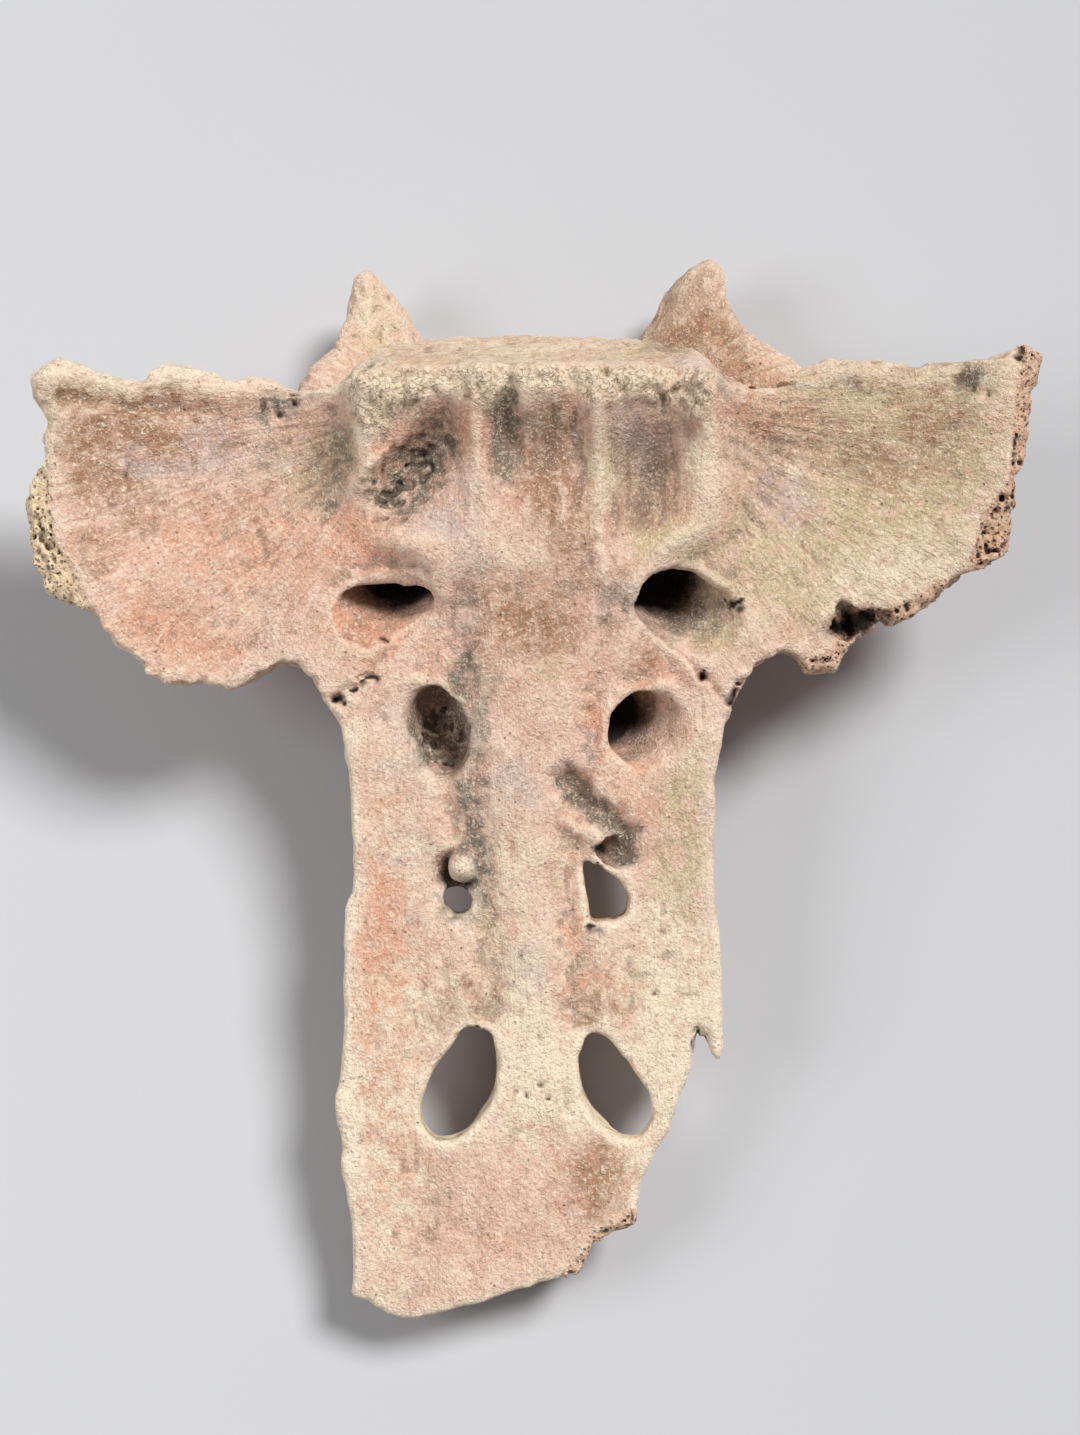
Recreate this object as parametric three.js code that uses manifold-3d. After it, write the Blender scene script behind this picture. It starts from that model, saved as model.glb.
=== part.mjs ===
// Fossil sacrum of a hippopotamus: five fused hip vertebrae with the two wings of the first.
// Millimetres. The bone is drawn in its own frame: x across, y towards the head, z out of the
// smooth pelvic face. The group then tips it so that it lies on its back on three worn flats.
// Left is -x and right is +x, as they are seen from above with the head end away.

import * as THREE from 'three';
import Module from 'manifold-3d';

// driving sizes
const REST_TILT = 13.3;              // degrees the head end is lifted when the bone lies on its back
const REST_HEIGHT = 46.9;            // pelvic face above the ground, at the middle of the bone
const ORIGIN_SHIFT = [1.25, 4.56];   // moves the middle of the outline over the origin
const CUT = 0.3;                     // gap between neighbouring vertebrae
const VERTEBRA_CUTS = [28, -3, -42, -86];   // rows of nerve openings, from the head end
const TAIL_END = -139.7;             // broken end of the last vertebra
const WING_NECK = 57;                // narrowest place of each wing, from the middle
const WING_TIP = { left: -121.5, right: 119 };
const PROCESS_CUT = 80;              // root of the joining processes
const EDGE_DEPTH = 5;                // depth of the sharpest line of a plate's rounded edge
const ENDPLATE = { half: 39, middle: -1.5, top: 3, depth: 41, rim: 80, root: 36, tilt: 19.6, dome: 1.5 };
const BONE_COLOUR = 0xd2b298;

// points round the rings of each shape, and how square the edges of the plates are
const RING = { column: 26, wing: 24, drum: 30, horn: 14, spine: 14, tunnel: 14, canal: 16, hole: 18 };
const SQUARE = { column: 4, first: 8, wing: 3.5 };
const SIMPLIFY = 0.04;

const knots = (Kind, pairs) => {
  const at = new Float32Array(pairs.map((pair) => pair[0]));
  const value = new Float32Array(pairs.map((pair) => pair[1]));
  const curve = new Kind(at, value, 1);
  return (t) => curve.evaluate(THREE.MathUtils.clamp(t, at[0], at[at.length - 1]))[0];
};
const curved = (...pairs) => knots(THREE.CubicInterpolant, pairs);
const straight = (...pairs) => knots(THREE.LinearInterpolant, pairs);

// heights and half widths along y, from the tail end to the head end
const columnLevel = curved([-140, 4], [-100, 2], [-60, 0], [0, -0.5], [40, -1], [62, -2], [80, 3]);
const columnHalf = curved([-140, 20], [-100, 14], [-85, 9], [-60, 11], [-20, 13], [10, 14], [30, 19],
  [46, 33], [62, 37], [85, 39]);
const sideLevel = curved([-140, 2], [-85, 0], [-40, -2.5], [0, -4], [30, -6], [55, -9], [85, -9]);
const archHalf = curved([-140, 9], [-85, 12], [-40, 15], [0, 19], [40, 25], [85, 29]);
const archLevel = curved([-140, -10], [-110, -15], [-85, -19], [-40, -27], [0, -37], [40, -50], [85, -63]);
const sideBack = curved([-140, -5], [-110, -6.5], [-85, -8], [-40, -12], [0, -17], [30, -25],
  [55, -29], [85, -24]);

// side edges of the column of vertebrae, against y
const leftEdge = straight([-140, -31], [-138, -36.5], [-136, -40], [-134.5, -43.6], [-124, -43.9],
  [-113, -44.7], [-101, -46.5], [-93, -47.8], [-80, -46.5], [-60, -46], [-44.5, -45.4], [-40, -44],
  [-22, -44.5], [-9, -45.7], [0, -48], [4.8, -51.4], [9.3, -53.7], [11.6, -55.6], [14, -64], [28, -64]);
const rightEdge = straight([-140, -28], [-137, -18], [-134, -8], [-131, 3], [-129, 9.6], [-125, 10.8],
  [-122, 12.5], [-120, 15], [-118, 21], [-113, 22.5], [-104, 26.2], [-96, 30], [-88, 32.5], [-80, 35.5],
  [-78.5, 42], [-70, 42.7], [-54, 42.3], [-42, 41], [-28, 41.1], [-14, 41.5], [-3, 43.5], [4, 46.2],
  [9.7, 49], [12.9, 51.3], [14.8, 54], [16.5, 64], [28, 64]);

// head and tail edges of the wings and of the first vertebra between them, against x
const wingHead = straight([-121.7, 50.5], [-119.5, 78.6], [-117, 82.8], [-113, 84.7], [-101, 80.5],
  [-93, 80.3], [-88, 84.2], [-83.5, 83.6], [-72, 80.2], [-67.5, 81.2], [-63, 80], [-54, 76.5],
  [-46, 77.5], [46, 78], [57, 80], [66, 84.4], [70, 85.4], [86, 84], [105, 85], [112, 87.7],
  [115.4, 88], [118, 86.3], [119.1, 83.6]);
const wingTail = straight([-121.7, 48.5], [-120.6, 44], [-118, 33.3], [-113, 28], [-104, 24],
  [-99.6, 17.1], [-94, 13.2], [-88.6, 8.7], [-80, 8.2], [-72.4, 7], [-67, 9.3], [-62, 12.2],
  [-57, 12.3], [-56.9, 14], [56.9, 14], [57, 15.6], [63.6, 11.4], [68, 11], [73.3, 17.4],
  [80, 22.6], [88.2, 23.9], [97.2, 31.7], [106, 36], [110.8, 39], [112.3, 52], [115.2, 66],
  [118.1, 79.6], [119.1, 82.5]);
const WING_NOTCH = [[-126, 76], [-117.5, 73], [-115.8, 69.5], [-117.2, 66.3], [-116.5, 61.2],
  [-118, 58.8], [-126, 56]];

// nerve openings that go right through the plate, drawn on the pelvic face
const THROUGH_HOLES = [
  [[-15.8, -41], [-19, -39.8], [-22.4, -41.5], [-22.6, -44.5], [-20, -46.2], [-16.2, -45.2]],
  [[10.4, -34], [13, -34.5], [17, -37], [20.6, -41.5], [20, -46.5], [15.5, -48], [11.6, -47.3], [10.6, -42]],
  [[-17.5, -73], [-12, -73.2], [-10.3, -80], [-11.2, -89], [-17, -96.8], [-23, -98.8], [-28, -93],
    [-24.5, -82]],
  [[11, -74.5], [15, -74.2], [20, -80], [25.6, -88], [25.6, -95], [20.5, -98], [13.5, -94], [9.3, -84]],
];

// nerve tunnels from the pelvic face to the canal: mouth, bend and inner end, with their radii
const TUNNELS = [
  { path: [[-43, 20, 3], [-31, 27, -13], [-12, 40, -37]], radius: [9, 7, 5.5] },
  { path: [[43, 19, 3], [30, 27, -13], [12, 40, -37]], radius: [8.5, 7, 5.5] },
  { path: [[-26, -8, 4], [-22, -3, -11], [-8, 8, -26]], radius: [8, 6.5, 5] },
  { path: [[29, -6, 4], [20, -2, -11], [8, 8, -26]], radius: [8, 6.5, 5] },
];

// the canal along the back of the vertebrae: height of its middle, half width and half height
const CANAL_ENDS = [-112, 100];
const canalLevel = curved([-112, -16], [-85, -13.5], [-40, -19], [0, -27], [40, -38], [85, -48.5],
  [100, -51]);
const canalHalf = curved([-112, 5], [-85, 5.5], [-40, 9], [0, 12], [40, 15], [85, 17.5]);
const canalHigh = curved([-112, 2.5], [-85, 2.5], [-40, 3.8], [0, 5.5], [40, 6.8], [85, 7.6]);

// worn spines of the five vertebrae on the hidden side: middle, length, width and lowest point
const SPINES = [
  { y: 56, long: 24, wide: 11, low: -60 },
  { y: 18, long: 24, wide: 11, low: -50.5 },
  { y: -22, long: 27, wide: 10, low: -41.5 },
  { y: -64, long: 28, wide: 9, low: -35.5 },
  { y: -100, long: 20, wide: 8, low: -22.5 },
];
const SPINE_ROOT = 7;                // how far a spine reaches into the arch
const SPINE_SLOPE = 0.29;            // fall of the spines towards the head end

// joining processes beside the canal: a horn from the arch to the tip
const PROCESSES = {
  left: { path: [[-34, 55, -46], [-39, 76, -52], [-40, 92, -58], [-42.3, 104, -57], [-44.2, 113.3, -54]],
    wide: [15, 16, 12, 6.3, 1.8], high: [11, 9.5, 13.5, 9, 2.5] },
  right: { path: [[34, 55, -46], [39, 77, -52], [39, 94, -58], [39.8, 106, -57], [42.6, 116.8, -54]],
    wide: [15, 17, 13.5, 8, 2.5], high: [11, 9.5, 13.5, 9, 2.5] },
};

const { lerp, smoothstep, degToRad } = THREE.MathUtils;
const hump = (t, middle, half) => Math.exp(-(((t - middle) / half) ** 2));
const steps = (from, to, count) => Array.from({ length: count + 1 }, (_, i) => lerp(from, to, i / count));
const turns = (count) => Array.from({ length: count }, (_, i) => (2 * Math.PI * i) / count);

// height of the pelvic face: the column, the hollows in the first vertebra and the dished wings
function front(x, y) {
  const away = Math.abs(x);
  const side = smoothstep(away, columnHalf(y), columnHalf(y) + 12);
  const dish = (5 * smoothstep(away, 85, 121) - 2 * hump(away, 68, 16)) * smoothstep(away, 50, 66);
  const hollow = 3 * hump(away, 25, 9) * hump(y, 59, 11);
  return lerp(columnLevel(y), sideLevel(y), side) - hollow + dish * smoothstep(y, 4, 6);
}

// height of the hidden face: the roof of the canal, falling away to the plates at its sides
function back(x, y) {
  const away = Math.abs(x);
  const side = smoothstep(away, archHalf(y) * 0.75, archHalf(y) + 13);
  const thinner = 9 * smoothstep(away, 60, 120) * smoothstep(y, 0, 20);
  return lerp(archLevel(y), sideBack(y), side) + thinner;
}

const wasm = await Module();
wasm.setup();
const { Manifold, Mesh } = wasm;

// solid from a closed three.js geometry, turned the right way out
function solidOf(geometry) {
  const places = new Float32Array(geometry.attributes.position.array);
  const faces = Uint32Array.from(geometry.index?.array ?? Array(places.length / 3).keys());
  const build = (triangles) => {
    const mesh = new Mesh({ numProp: 3, vertProperties: places, triVerts: triangles });
    mesh.merge();
    return new Manifold(mesh);
  };
  const solid = build(faces);
  return solid.volume() > 0 ? solid : build(faces.toReversed());
}

function geometryOf(solid) {
  const mesh = solid.getMesh();
  const geometry = new THREE.BufferGeometry();
  geometry.setAttribute('position', new THREE.BufferAttribute(new Float32Array(mesh.vertProperties), 3));
  geometry.setIndex(new THREE.BufferAttribute(new Uint32Array(mesh.triVerts), 1));
  return geometry;
}

// closed skin over a row of rings with equal numbers of points
function loft(rings) {
  const count = rings[0].length;
  const points = rings.flat(2);
  const faces = [];
  for (let r = 0; r + 1 < rings.length; r++) {
    for (let i = 0; i < count; i++) {
      const a = r * count + i;
      const b = r * count + ((i + 1) % count);
      faces.push(a, b, a + count, b, b + count, a + count);
    }
  }
  for (const [ring, last] of [[0, false], [rings.length - 1, true]]) {
    const middle = points.length / 3;
    points.push(...[0, 1, 2].map((k) => rings[ring].reduce((sum, p) => sum + p[k], 0) / count));
    for (let i = 0; i < count; i++) {
      const a = ring * count + i;
      const b = ring * count + ((i + 1) % count);
      faces.push(middle, last ? a : b, last ? b : a);
    }
  }
  const geometry = new THREE.BufferGeometry();
  geometry.setAttribute('position', new THREE.BufferAttribute(new Float32Array(points), 3));
  geometry.setIndex(faces);
  return solidOf(geometry);
}

// ring of a plate between two edges: full thickness inside, rounded over at the edges
function plateRing(low, high, count, square, place) {
  return turns(count).map((turn) => {
    const even = 1 - (2 / Math.PI) * Math.acos(Math.cos(turn));
    const across = (Math.cos(turn) + even) / 2;
    const full = Math.max(0, 1 - Math.abs(across) ** square) ** (1 / square);
    const [x, y] = place((low + high) / 2 + ((high - low) / 2) * across);
    const top = front(x, y);
    const bottom = back(x, y);
    const edge = top - Math.min(EDGE_DEPTH, (top - bottom) / 2);
    return [x, y, lerp(edge, Math.sin(turn) > 0 ? top : bottom, full)];
  });
}

// stretch of the column between two cuts
function stretch(tail, head, count) {
  const ring = (y) => plateRing(leftEdge(y), rightEdge(y), RING.column, SQUARE.column, (x) => [x, y]);
  return loft(steps(tail, head, count).map(ring));
}

// part of the plate that runs from wing tip to wing tip
function span(rows, square) {
  const ring = (x) => plateRing(wingTail(x), wingHead(x), RING.wing, square, (y) => [x, y]);
  return loft(rows.map(ring));
}

function wing(side) {
  const sign = Math.sign(WING_TIP[side]);
  const tip = Math.abs(WING_TIP[side]);
  const rows = [...steps(WING_NECK + CUT / 2, tip - 9, 12), ...[7, 5, 3, 1.5, 0.6, 0].map((d) => tip - d)];
  return span(rows.map((away) => sign * away), SQUARE.wing);
}

// upright prism through the whole bone over an outline on the pelvic face
function prism(outline) {
  const shape = new THREE.Shape(outline.map(([x, y]) => new THREE.Vector2(x, y)));
  const upright = new THREE.ExtrudeGeometry(shape, { depth: 160, bevelEnabled: false });
  return solidOf(upright.translate(0, 0, -100));
}

function hole(outline) {
  const curve = new THREE.SplineCurve([...outline, outline[0]].map(([x, y]) => new THREE.Vector2(x, y)));
  return prism(curve.getSpacedPoints(RING.hole).slice(0, RING.hole).map((p) => [p.x, p.y]));
}

// body of the first vertebra: an oval drum with its tilted, slightly domed end face
function firstBody() {
  const slope = Math.tan(degToRad(ENDPLATE.tilt));
  const middle = ENDPLATE.top - ENDPLATE.depth / 2;
  const squarer = (v) => Math.sign(v) * Math.abs(v) ** 0.8;
  const oval = ([size, share, dome]) => turns(RING.drum).map((turn) => {
    const x = ENDPLATE.middle + ENDPLATE.half * size * squarer(Math.cos(turn));
    const z = middle + (ENDPLATE.depth / 2) * size * squarer(Math.sin(turn));
    const face = ENDPLATE.rim + slope * (ENDPLATE.top - z);
    return [x, lerp(ENDPLATE.root, face, share) + dome * ENDPLATE.dome, z];
  });
  const rings = [[0.84, 0, 0], [0.86, 0.4, 0], [0.93, 0.72, 0], [0.995, 0.9, 0], [1, 0.97, 0],
    [0.97, 1, 0], [0.72, 1, 0.6], [0.36, 1, 1]];
  return loft(rings.map(oval));
}

// low worn spine, narrower towards its edge
function spine({ y, long, wide, low }) {
  const top = archLevel(y) + SPINE_ROOT;
  const rings = [[0, 1.15, 1.07], [0.55, 0.95, 0.97], [0.85, 0.72, 0.85], [1, 0.42, 0.42]];
  return loft(rings.map(([share, width, length]) => turns(RING.spine).map((turn) => {
    const along = (long / 2) * length * Math.cos(turn);
    return [(wide / 2) * width * Math.sin(turn), y + along, lerp(top, low, share) - along * SPINE_SLOPE];
  })));
}

// horn with an oval section that follows a curve
function horn({ path, wide, high }) {
  const curve = new THREE.CatmullRomCurve3(path.map((p) => new THREE.Vector3(...p)));
  const share = path.map((_, i) => i / (path.length - 1));
  const width = curved(...share.map((t, i) => [t, wide[i]]));
  const height = curved(...share.map((t, i) => [t, high[i]]));
  return loft(steps(0, 1, 9).map((t) => {
    const ahead = curve.getTangent(t);
    const across = new THREE.Vector3(0, 0, 1).cross(ahead).normalize();
    const up = ahead.clone().cross(across);
    return turns(RING.horn).map((turn) => curve.getPoint(t)
      .addScaledVector(across, width(t) * Math.cos(turn))
      .addScaledVector(up, height(t) * Math.sin(turn)).toArray());
  }));
}

// round tunnel that narrows along a bent path
function tunnel({ path, radius }) {
  const rows = 6;
  const curve = new THREE.QuadraticBezierCurve3(...path.map((p) => new THREE.Vector3(...p)));
  const size = curved([0, radius[0]], [0.5, radius[1]], [1, radius[2]]);
  const { normals, binormals } = curve.computeFrenetFrames(rows, false);
  return loft(steps(0, 1, rows).map((t, row) => turns(RING.tunnel).map((turn) => curve.getPoint(t)
    .addScaledVector(normals[row], size(t) * Math.cos(turn))
    .addScaledVector(binormals[row], size(t) * Math.sin(turn)).toArray())));
}

function canal() {
  const [tail, head] = CANAL_ENDS;
  return loft(steps(tail, head, 18).map((y) => turns(RING.canal).map((turn) =>
    [canalHalf(y) * Math.cos(turn), y, canalLevel(y) + canalHigh(y) * Math.sin(turn)])));
}

// everything below the ground on which the bone lies
function ground() {
  const depth = 60;
  const slab = new THREE.BoxGeometry(400, 500, depth).translate(0, 0, -depth / 2 - REST_HEIGHT);
  return solidOf(slab.rotateX(degToRad(-REST_TILT)));
}

// box over the full height of the bone, between two values of x and two of y
function block(x0, x1, y0, y1) {
  return solidOf(new THREE.BoxGeometry(x1 - x0, y1 - y0, 250).translate((x0 + x1) / 2, (y0 + y1) / 2, 0));
}

const gap = CUT / 2;
const [cut1, cut2, cut3, cut4] = VERTEBRA_CUTS;
const neck = WING_NECK - gap;
const drum = firstBody();
const roomForDrum = drum.scale([1.01, 1.004, 1.015]);
const spines = SPINES.map(spine);
const horns = { left: horn(PROCESSES.left), right: horn(PROCESSES.right) };
const hornRoots = block(-100, 100, 0, PROCESS_CUT - gap);
const hornTips = block(-100, 100, PROCESS_CUT + gap, 160);

const uncut = {
  s1_vertebra: span(steps(-neck, neck, 20), SQUARE.first)
    .add(horns.left.intersect(hornRoots)).add(horns.right.intersect(hornRoots))
    .add(drum).add(spines[0]).intersect(block(-neck, neck, cut1 + gap, 200)),
  wing_left: wing('left').subtract(prism(WING_NOTCH)),
  wing_right: wing('right'),
  articular_process_left: horns.left.intersect(hornTips).subtract(roomForDrum),
  articular_process_right: horns.right.intersect(hornTips).subtract(roomForDrum),
  s2_vertebra: stretch(cut2 + gap, cut1 - gap, 7).add(spines[1])
    .intersect(block(-neck, neck, cut2 + gap, cut1 - gap)),
  s3_vertebra: stretch(cut3 + gap, cut2 - gap, 7).add(spines[2]),
  s4_vertebra: stretch(cut4 + gap, cut3 - gap, 11).add(spines[3]),
  s5_vertebra: stretch(TAIL_END, cut4 - gap, 15).add(spines[4]),
};
const cutters = [canal(), ground(), ...THROUGH_HOLES.map(hole), ...TUNNELS.map(tunnel)];

const sacrum = new THREE.Group();
sacrum.name = 'sacrum';
for (const [name, solid] of Object.entries(uncut)) {
  const bone = cutters.reduce((rest, cutter) => rest.subtract(cutter), solid);
  const material = new THREE.MeshStandardMaterial({ color: BONE_COLOUR, roughness: 0.9, metalness: 0 });
  const mesh = new THREE.Mesh(geometryOf(bone.simplify(SIMPLIFY)), material);
  mesh.name = name;
  sacrum.add(mesh);
}
sacrum.rotation.x = degToRad(REST_TILT);
sacrum.position.set(...ORIGIN_SHIFT, REST_HEIGHT);

export default sacrum;
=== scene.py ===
# %% [markdown]
# # A fossil sacrum in one skin
#
# The object is the sacrum of a hippopotamus: five hip vertebrae that grew together, with two broad wings at
# the head end. The real thing is one bone, so it is made here as one closed skin that stands for all nine
# CAD nodes, and no seam shows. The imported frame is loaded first, because every length below is placed in
# it.

# %% Load the frame
import math

import bpy
import numpy as np
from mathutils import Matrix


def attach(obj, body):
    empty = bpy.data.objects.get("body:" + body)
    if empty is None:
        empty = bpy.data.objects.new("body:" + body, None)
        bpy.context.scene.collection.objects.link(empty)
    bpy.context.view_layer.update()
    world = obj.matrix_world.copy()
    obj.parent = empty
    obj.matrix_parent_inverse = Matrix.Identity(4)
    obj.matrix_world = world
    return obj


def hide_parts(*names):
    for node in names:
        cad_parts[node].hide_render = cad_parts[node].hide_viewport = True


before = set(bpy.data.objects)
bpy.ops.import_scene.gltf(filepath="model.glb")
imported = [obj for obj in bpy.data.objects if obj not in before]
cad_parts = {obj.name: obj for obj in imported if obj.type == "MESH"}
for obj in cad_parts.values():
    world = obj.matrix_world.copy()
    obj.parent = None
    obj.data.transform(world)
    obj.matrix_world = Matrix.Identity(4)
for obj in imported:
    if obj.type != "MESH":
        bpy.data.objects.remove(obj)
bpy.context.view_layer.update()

# %% [markdown]
# ## The bone's own axes
#
# A bone is easiest to measure flat on its smooth pelvic face: x across, y towards the head end, z out of
# the face, in millimetres from the middle of the picture. On a table it lies on its back, tipped a little
# by its joining processes. So everything is worked out in the bone's own axes and turned into the room's
# metres by one small function.

# %% From the bone's millimetres to the room's metres
MILLIMETRE = 0.001
REST_TILT = math.radians(13.3)
REST_HEIGHT = 46.9
ORIGIN_SHIFT = (1.25, 4.56)
TILT_COS = math.cos(REST_TILT)
TILT_SIN = math.sin(REST_TILT)


def to_room(x, y, z):
    """Turn the bone by its tilt about the X axis, lift it onto the floor and centre it, in metres."""
    across = x + ORIGIN_SHIFT[0]
    along = y * TILT_COS - z * TILT_SIN + ORIGIN_SHIFT[1]
    up = y * TILT_SIN + z * TILT_COS + REST_HEIGHT
    return np.stack([across, along, up], axis=-1) * MILLIMETRE


def from_room(point):
    """Undo to_room: metres in the room to millimetres in the bone's own axes."""
    across, along, up = (np.asarray(point, dtype=np.float64) / MILLIMETRE).T
    along = along - ORIGIN_SHIFT[1]
    up = up - REST_HEIGHT
    return across - ORIGIN_SHIFT[0], along * TILT_COS + up * TILT_SIN, up * TILT_COS - along * TILT_SIN


def floor_level(y):
    """Height of the floor in the bone's own axes, below a point at y."""
    return -(REST_HEIGHT + y * TILT_SIN) / TILT_COS


print("Floor under the head end, mm:", round(float(floor_level(80.0)), 1))

# %% [markdown]
# ## The camera
#
# The picture looks straight at the pelvic face. The bone lies tipped by its rest angle, so the camera hangs
# over it and leans by that same angle. The longer side of the sensor goes with the height of a tall
# picture, so the lens follows from the height of the view and the distance.

# %% Hang the camera over the bone
CAMERA_DISTANCE = 600.0
VIEW_HEIGHT = 334.4
SENSOR = 36.0

camera_data = bpy.data.cameras.new("camera")
camera_data.sensor_width = SENSOR
camera_data.lens = SENSOR * CAMERA_DISTANCE / VIEW_HEIGHT
camera_data.clip_start = 0.01
camera = bpy.data.objects.new("camera", camera_data)
camera.location = to_room(0.0, 0.0, CAMERA_DISTANCE)
camera.rotation_euler = (REST_TILT, 0.0, 0.0)
bpy.context.scene.collection.objects.link(camera)
bpy.context.scene.camera = camera
print("Lens in mm:", round(camera_data.lens, 1))

# %% [markdown]
# ## Soft arithmetic
#
# Bone has no hard corners. Its parts flow into each other, so the shapes below are joined by softened
# versions of everyday tools: a step that eases in and out, a hump that dies away, a maximum that rounds its
# corner, and a curve that passes through a few measured heights.


# %% Steps, humps and rounded corners
def ramp(t, start, stop):
    """Ease from 0 at start to 1 at stop: 3u^2 - 2u^3, with u the clipped way along."""
    u = np.clip((t - start) / (stop - start), 0.0, 1.0)
    return u * u * (3.0 - 2.0 * u)


def hump(t, middle, half):
    """Bell curve: e to the minus square of the distance from the middle, in units of half."""
    return np.exp(-(((t - middle) / half) ** 2))


def mix(a, b, share):
    """The value that is share of the way from a to b."""
    return a + (b - a) * share


def soft_max(a, b, reach):
    """The larger of two fields, its corner rounded where they differ by less than reach."""
    return np.maximum(a, b) + reach / 4.0 * np.maximum(0.0, 1.0 - np.abs(a - b) / reach) ** 2


def soft_min(a, b, reach):
    """The smaller of two fields, its corner rounded in the same way."""
    return -soft_max(-a, -b, reach)


def profile(t, *stops):
    """Cubic curve through (place, value) stops; its slope at a stop comes from the stops either side."""
    place, value = np.array(stops, dtype=np.float32).T
    slope = np.gradient(value, place)
    t = np.clip(t, place[0], place[-1])
    i = np.clip(np.searchsorted(place, t) - 1, 0, len(place) - 2)
    span = place[i + 1] - place[i]
    u = (t - place[i]) / span
    v = 1.0 - u
    ends = value[i] * (1 + 2 * u) * v * v + value[i + 1] * u * u * (3 - 2 * u)
    return ends + span * (slope[i] * u * v * v - slope[i + 1] * u * u * v)


print("Half-way up a ramp:", ramp(0.5, 0.0, 1.0))

# %% [markdown]
# ## The outline
#
# Seen from the front the bone is an outline with broken wing ends, a smooth left side, a splinter on the
# right and a tail end that broke off at a slant. The points were measured on the picture; a Catmull-Rom
# curve runs through them. The distance to that curve, negative inside, is what the skin is later rounded
# over.

# %% Outline of the whole bone
LEFT_WING = (
    (-50, 77), (-56, 76.8), (-63, 80), (-67.5, 81.2), (-71.5, 80), (-77, 81.2), (-83.5, 83.6), (-88, 84.2),
    (-91.5, 82.5), (-95, 79.5), (-101, 80.5), (-107, 82.4), (-113, 84.7), (-117.5, 82.5), (-119.8, 78.8),
    (-118, 73.4), (-116, 69.4), (-117.4, 66), (-116.6, 61.4), (-119, 57.5), (-121.4, 52), (-121.5, 47.5),
    (-120, 39), (-118, 33.3), (-115.5, 29.4), (-108, 26.2), (-103.8, 23.9), (-99.6, 17.1), (-95.5, 15),
    (-92.2, 10.6), (-86, 7.8), (-78, 8.4), (-72.4, 7), (-67.2, 9.3), (-63, 12), (-57.5, 12.4), (-53.7, 9.3),
    (-48.8, 0.6),
)
LEFT_SIDE = (
    (-46.3, -4), (-45.2, -14), (-44.2, -30), (-44, -40), (-45.5, -45), (-46, -60), (-46.2, -76),
    (-47.8, -93), (-46.6, -97), (-45.8, -107), (-44, -118), (-43.5, -130), (-43.7, -134.5),
)
TAIL_END = (
    (-40, -136), (-36, -138.5), (-30, -140), (-18, -137), (-8, -134), (3, -130.5), (7.5, -130),
    (10, -128.5), (10.8, -125), (12.5, -122), (15, -120), (20, -118.7), (22.3, -117),
)
RIGHT_SIDE = (
    (22.5, -113), (24, -108), (26.4, -103), (30, -96), (32.2, -90), (34.5, -84), (35.6, -79.5), (36.2, -76),
    (37, -73), (37.8, -75), (38.7, -74.2), (39.5, -77), (41.4, -80), (42.7, -78), (43, -74.5), (42.6, -66),
    (42.2, -52), (41, -42), (41.2, -24), (41.6, -12), (43.5, -3), (45.2, 1.2),
)
RIGHT_WING = (
    (46.8, 5.4), (49.5, 10.5), (54, 14.8), (57.5, 15.8), (60.8, 14.6), (63.6, 11.4), (67, 10.8), (70, 11.6),
    (72.5, 16), (76.2, 20.3), (80, 22.8), (84.3, 22.6), (89, 24.5), (93, 28), (97.2, 31.7), (103, 35),
    (109.5, 37.7), (110.9, 40), (111.5, 46), (112.3, 51), (111.6, 56.6), (113.9, 60.5), (115.4, 68),
    (116.3, 74), (118.3, 80), (119.1, 84), (117.5, 87), (114, 88.2), (110, 86.6), (105, 85), (95, 84.3),
    (86, 84), (80, 84.8), (75, 84.7), (70, 85.5), (66, 84.3), (62, 82.6), (57, 80), (50, 78.5),
)


def curve_through(points, pieces=4):
    """Closed Catmull-Rom curve: on each span a cubic set by the two points before and the two after."""
    here = np.array(points, dtype=np.float64)
    before = np.roll(here, 1, axis=0)
    after = np.roll(here, -1, axis=0)
    beyond = np.roll(here, -2, axis=0)
    u = np.linspace(0.0, 1.0, pieces, endpoint=False)[:, None, None]
    line = 2 * here + (after - before) * u
    bend = (2 * before - 5 * here + 4 * after - beyond) * u**2
    twist = (3 * here - before - 3 * after + beyond) * u**3
    return (0.5 * (line + bend + twist)).transpose(1, 0, 2).reshape(-1, 2)


def span_distance(x, y, start, stop):
    """Distance to one straight span: the point is dropped onto it and held between its ends."""
    dx, dy = stop - start
    share = ((x - start[0]) * dx + (y - start[1]) * dy) / (dx * dx + dy * dy + 1e-12)
    share = np.clip(share, 0.0, 1.0)
    return np.hypot(x - start[0] - share * dx, y - start[1] - share * dy)


def outline_distance(x, y, outline):
    """Distance to a closed outline, negative inside: a ray from inside crosses it an odd number of times."""
    nearest = np.full(np.shape(x), 1e9, dtype=np.float32)
    inside = np.zeros(np.shape(x), dtype=bool)
    for start, stop in zip(outline, np.roll(outline, -1, axis=0)):
        nearest = np.minimum(nearest, span_distance(x, y, start, stop))
        spans = (start[1] > y) != (stop[1] > y)
        if stop[1] != start[1]:
            crossing = start[0] + (y - start[1]) * (stop[0] - start[0]) / (stop[1] - start[1])
            inside ^= spans & (x < crossing)
    return np.where(inside, -nearest, nearest).astype(np.float32)


def stroke_distance(x, y, points):
    """Distance to an open line of straight spans."""
    line = np.array(points, dtype=np.float64)
    nearest = np.full(np.shape(x), 1e9, dtype=np.float32)
    for start, stop in zip(line[:-1], line[1:]):
        nearest = np.minimum(nearest, span_distance(x, y, start, stop))
    return nearest


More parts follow.
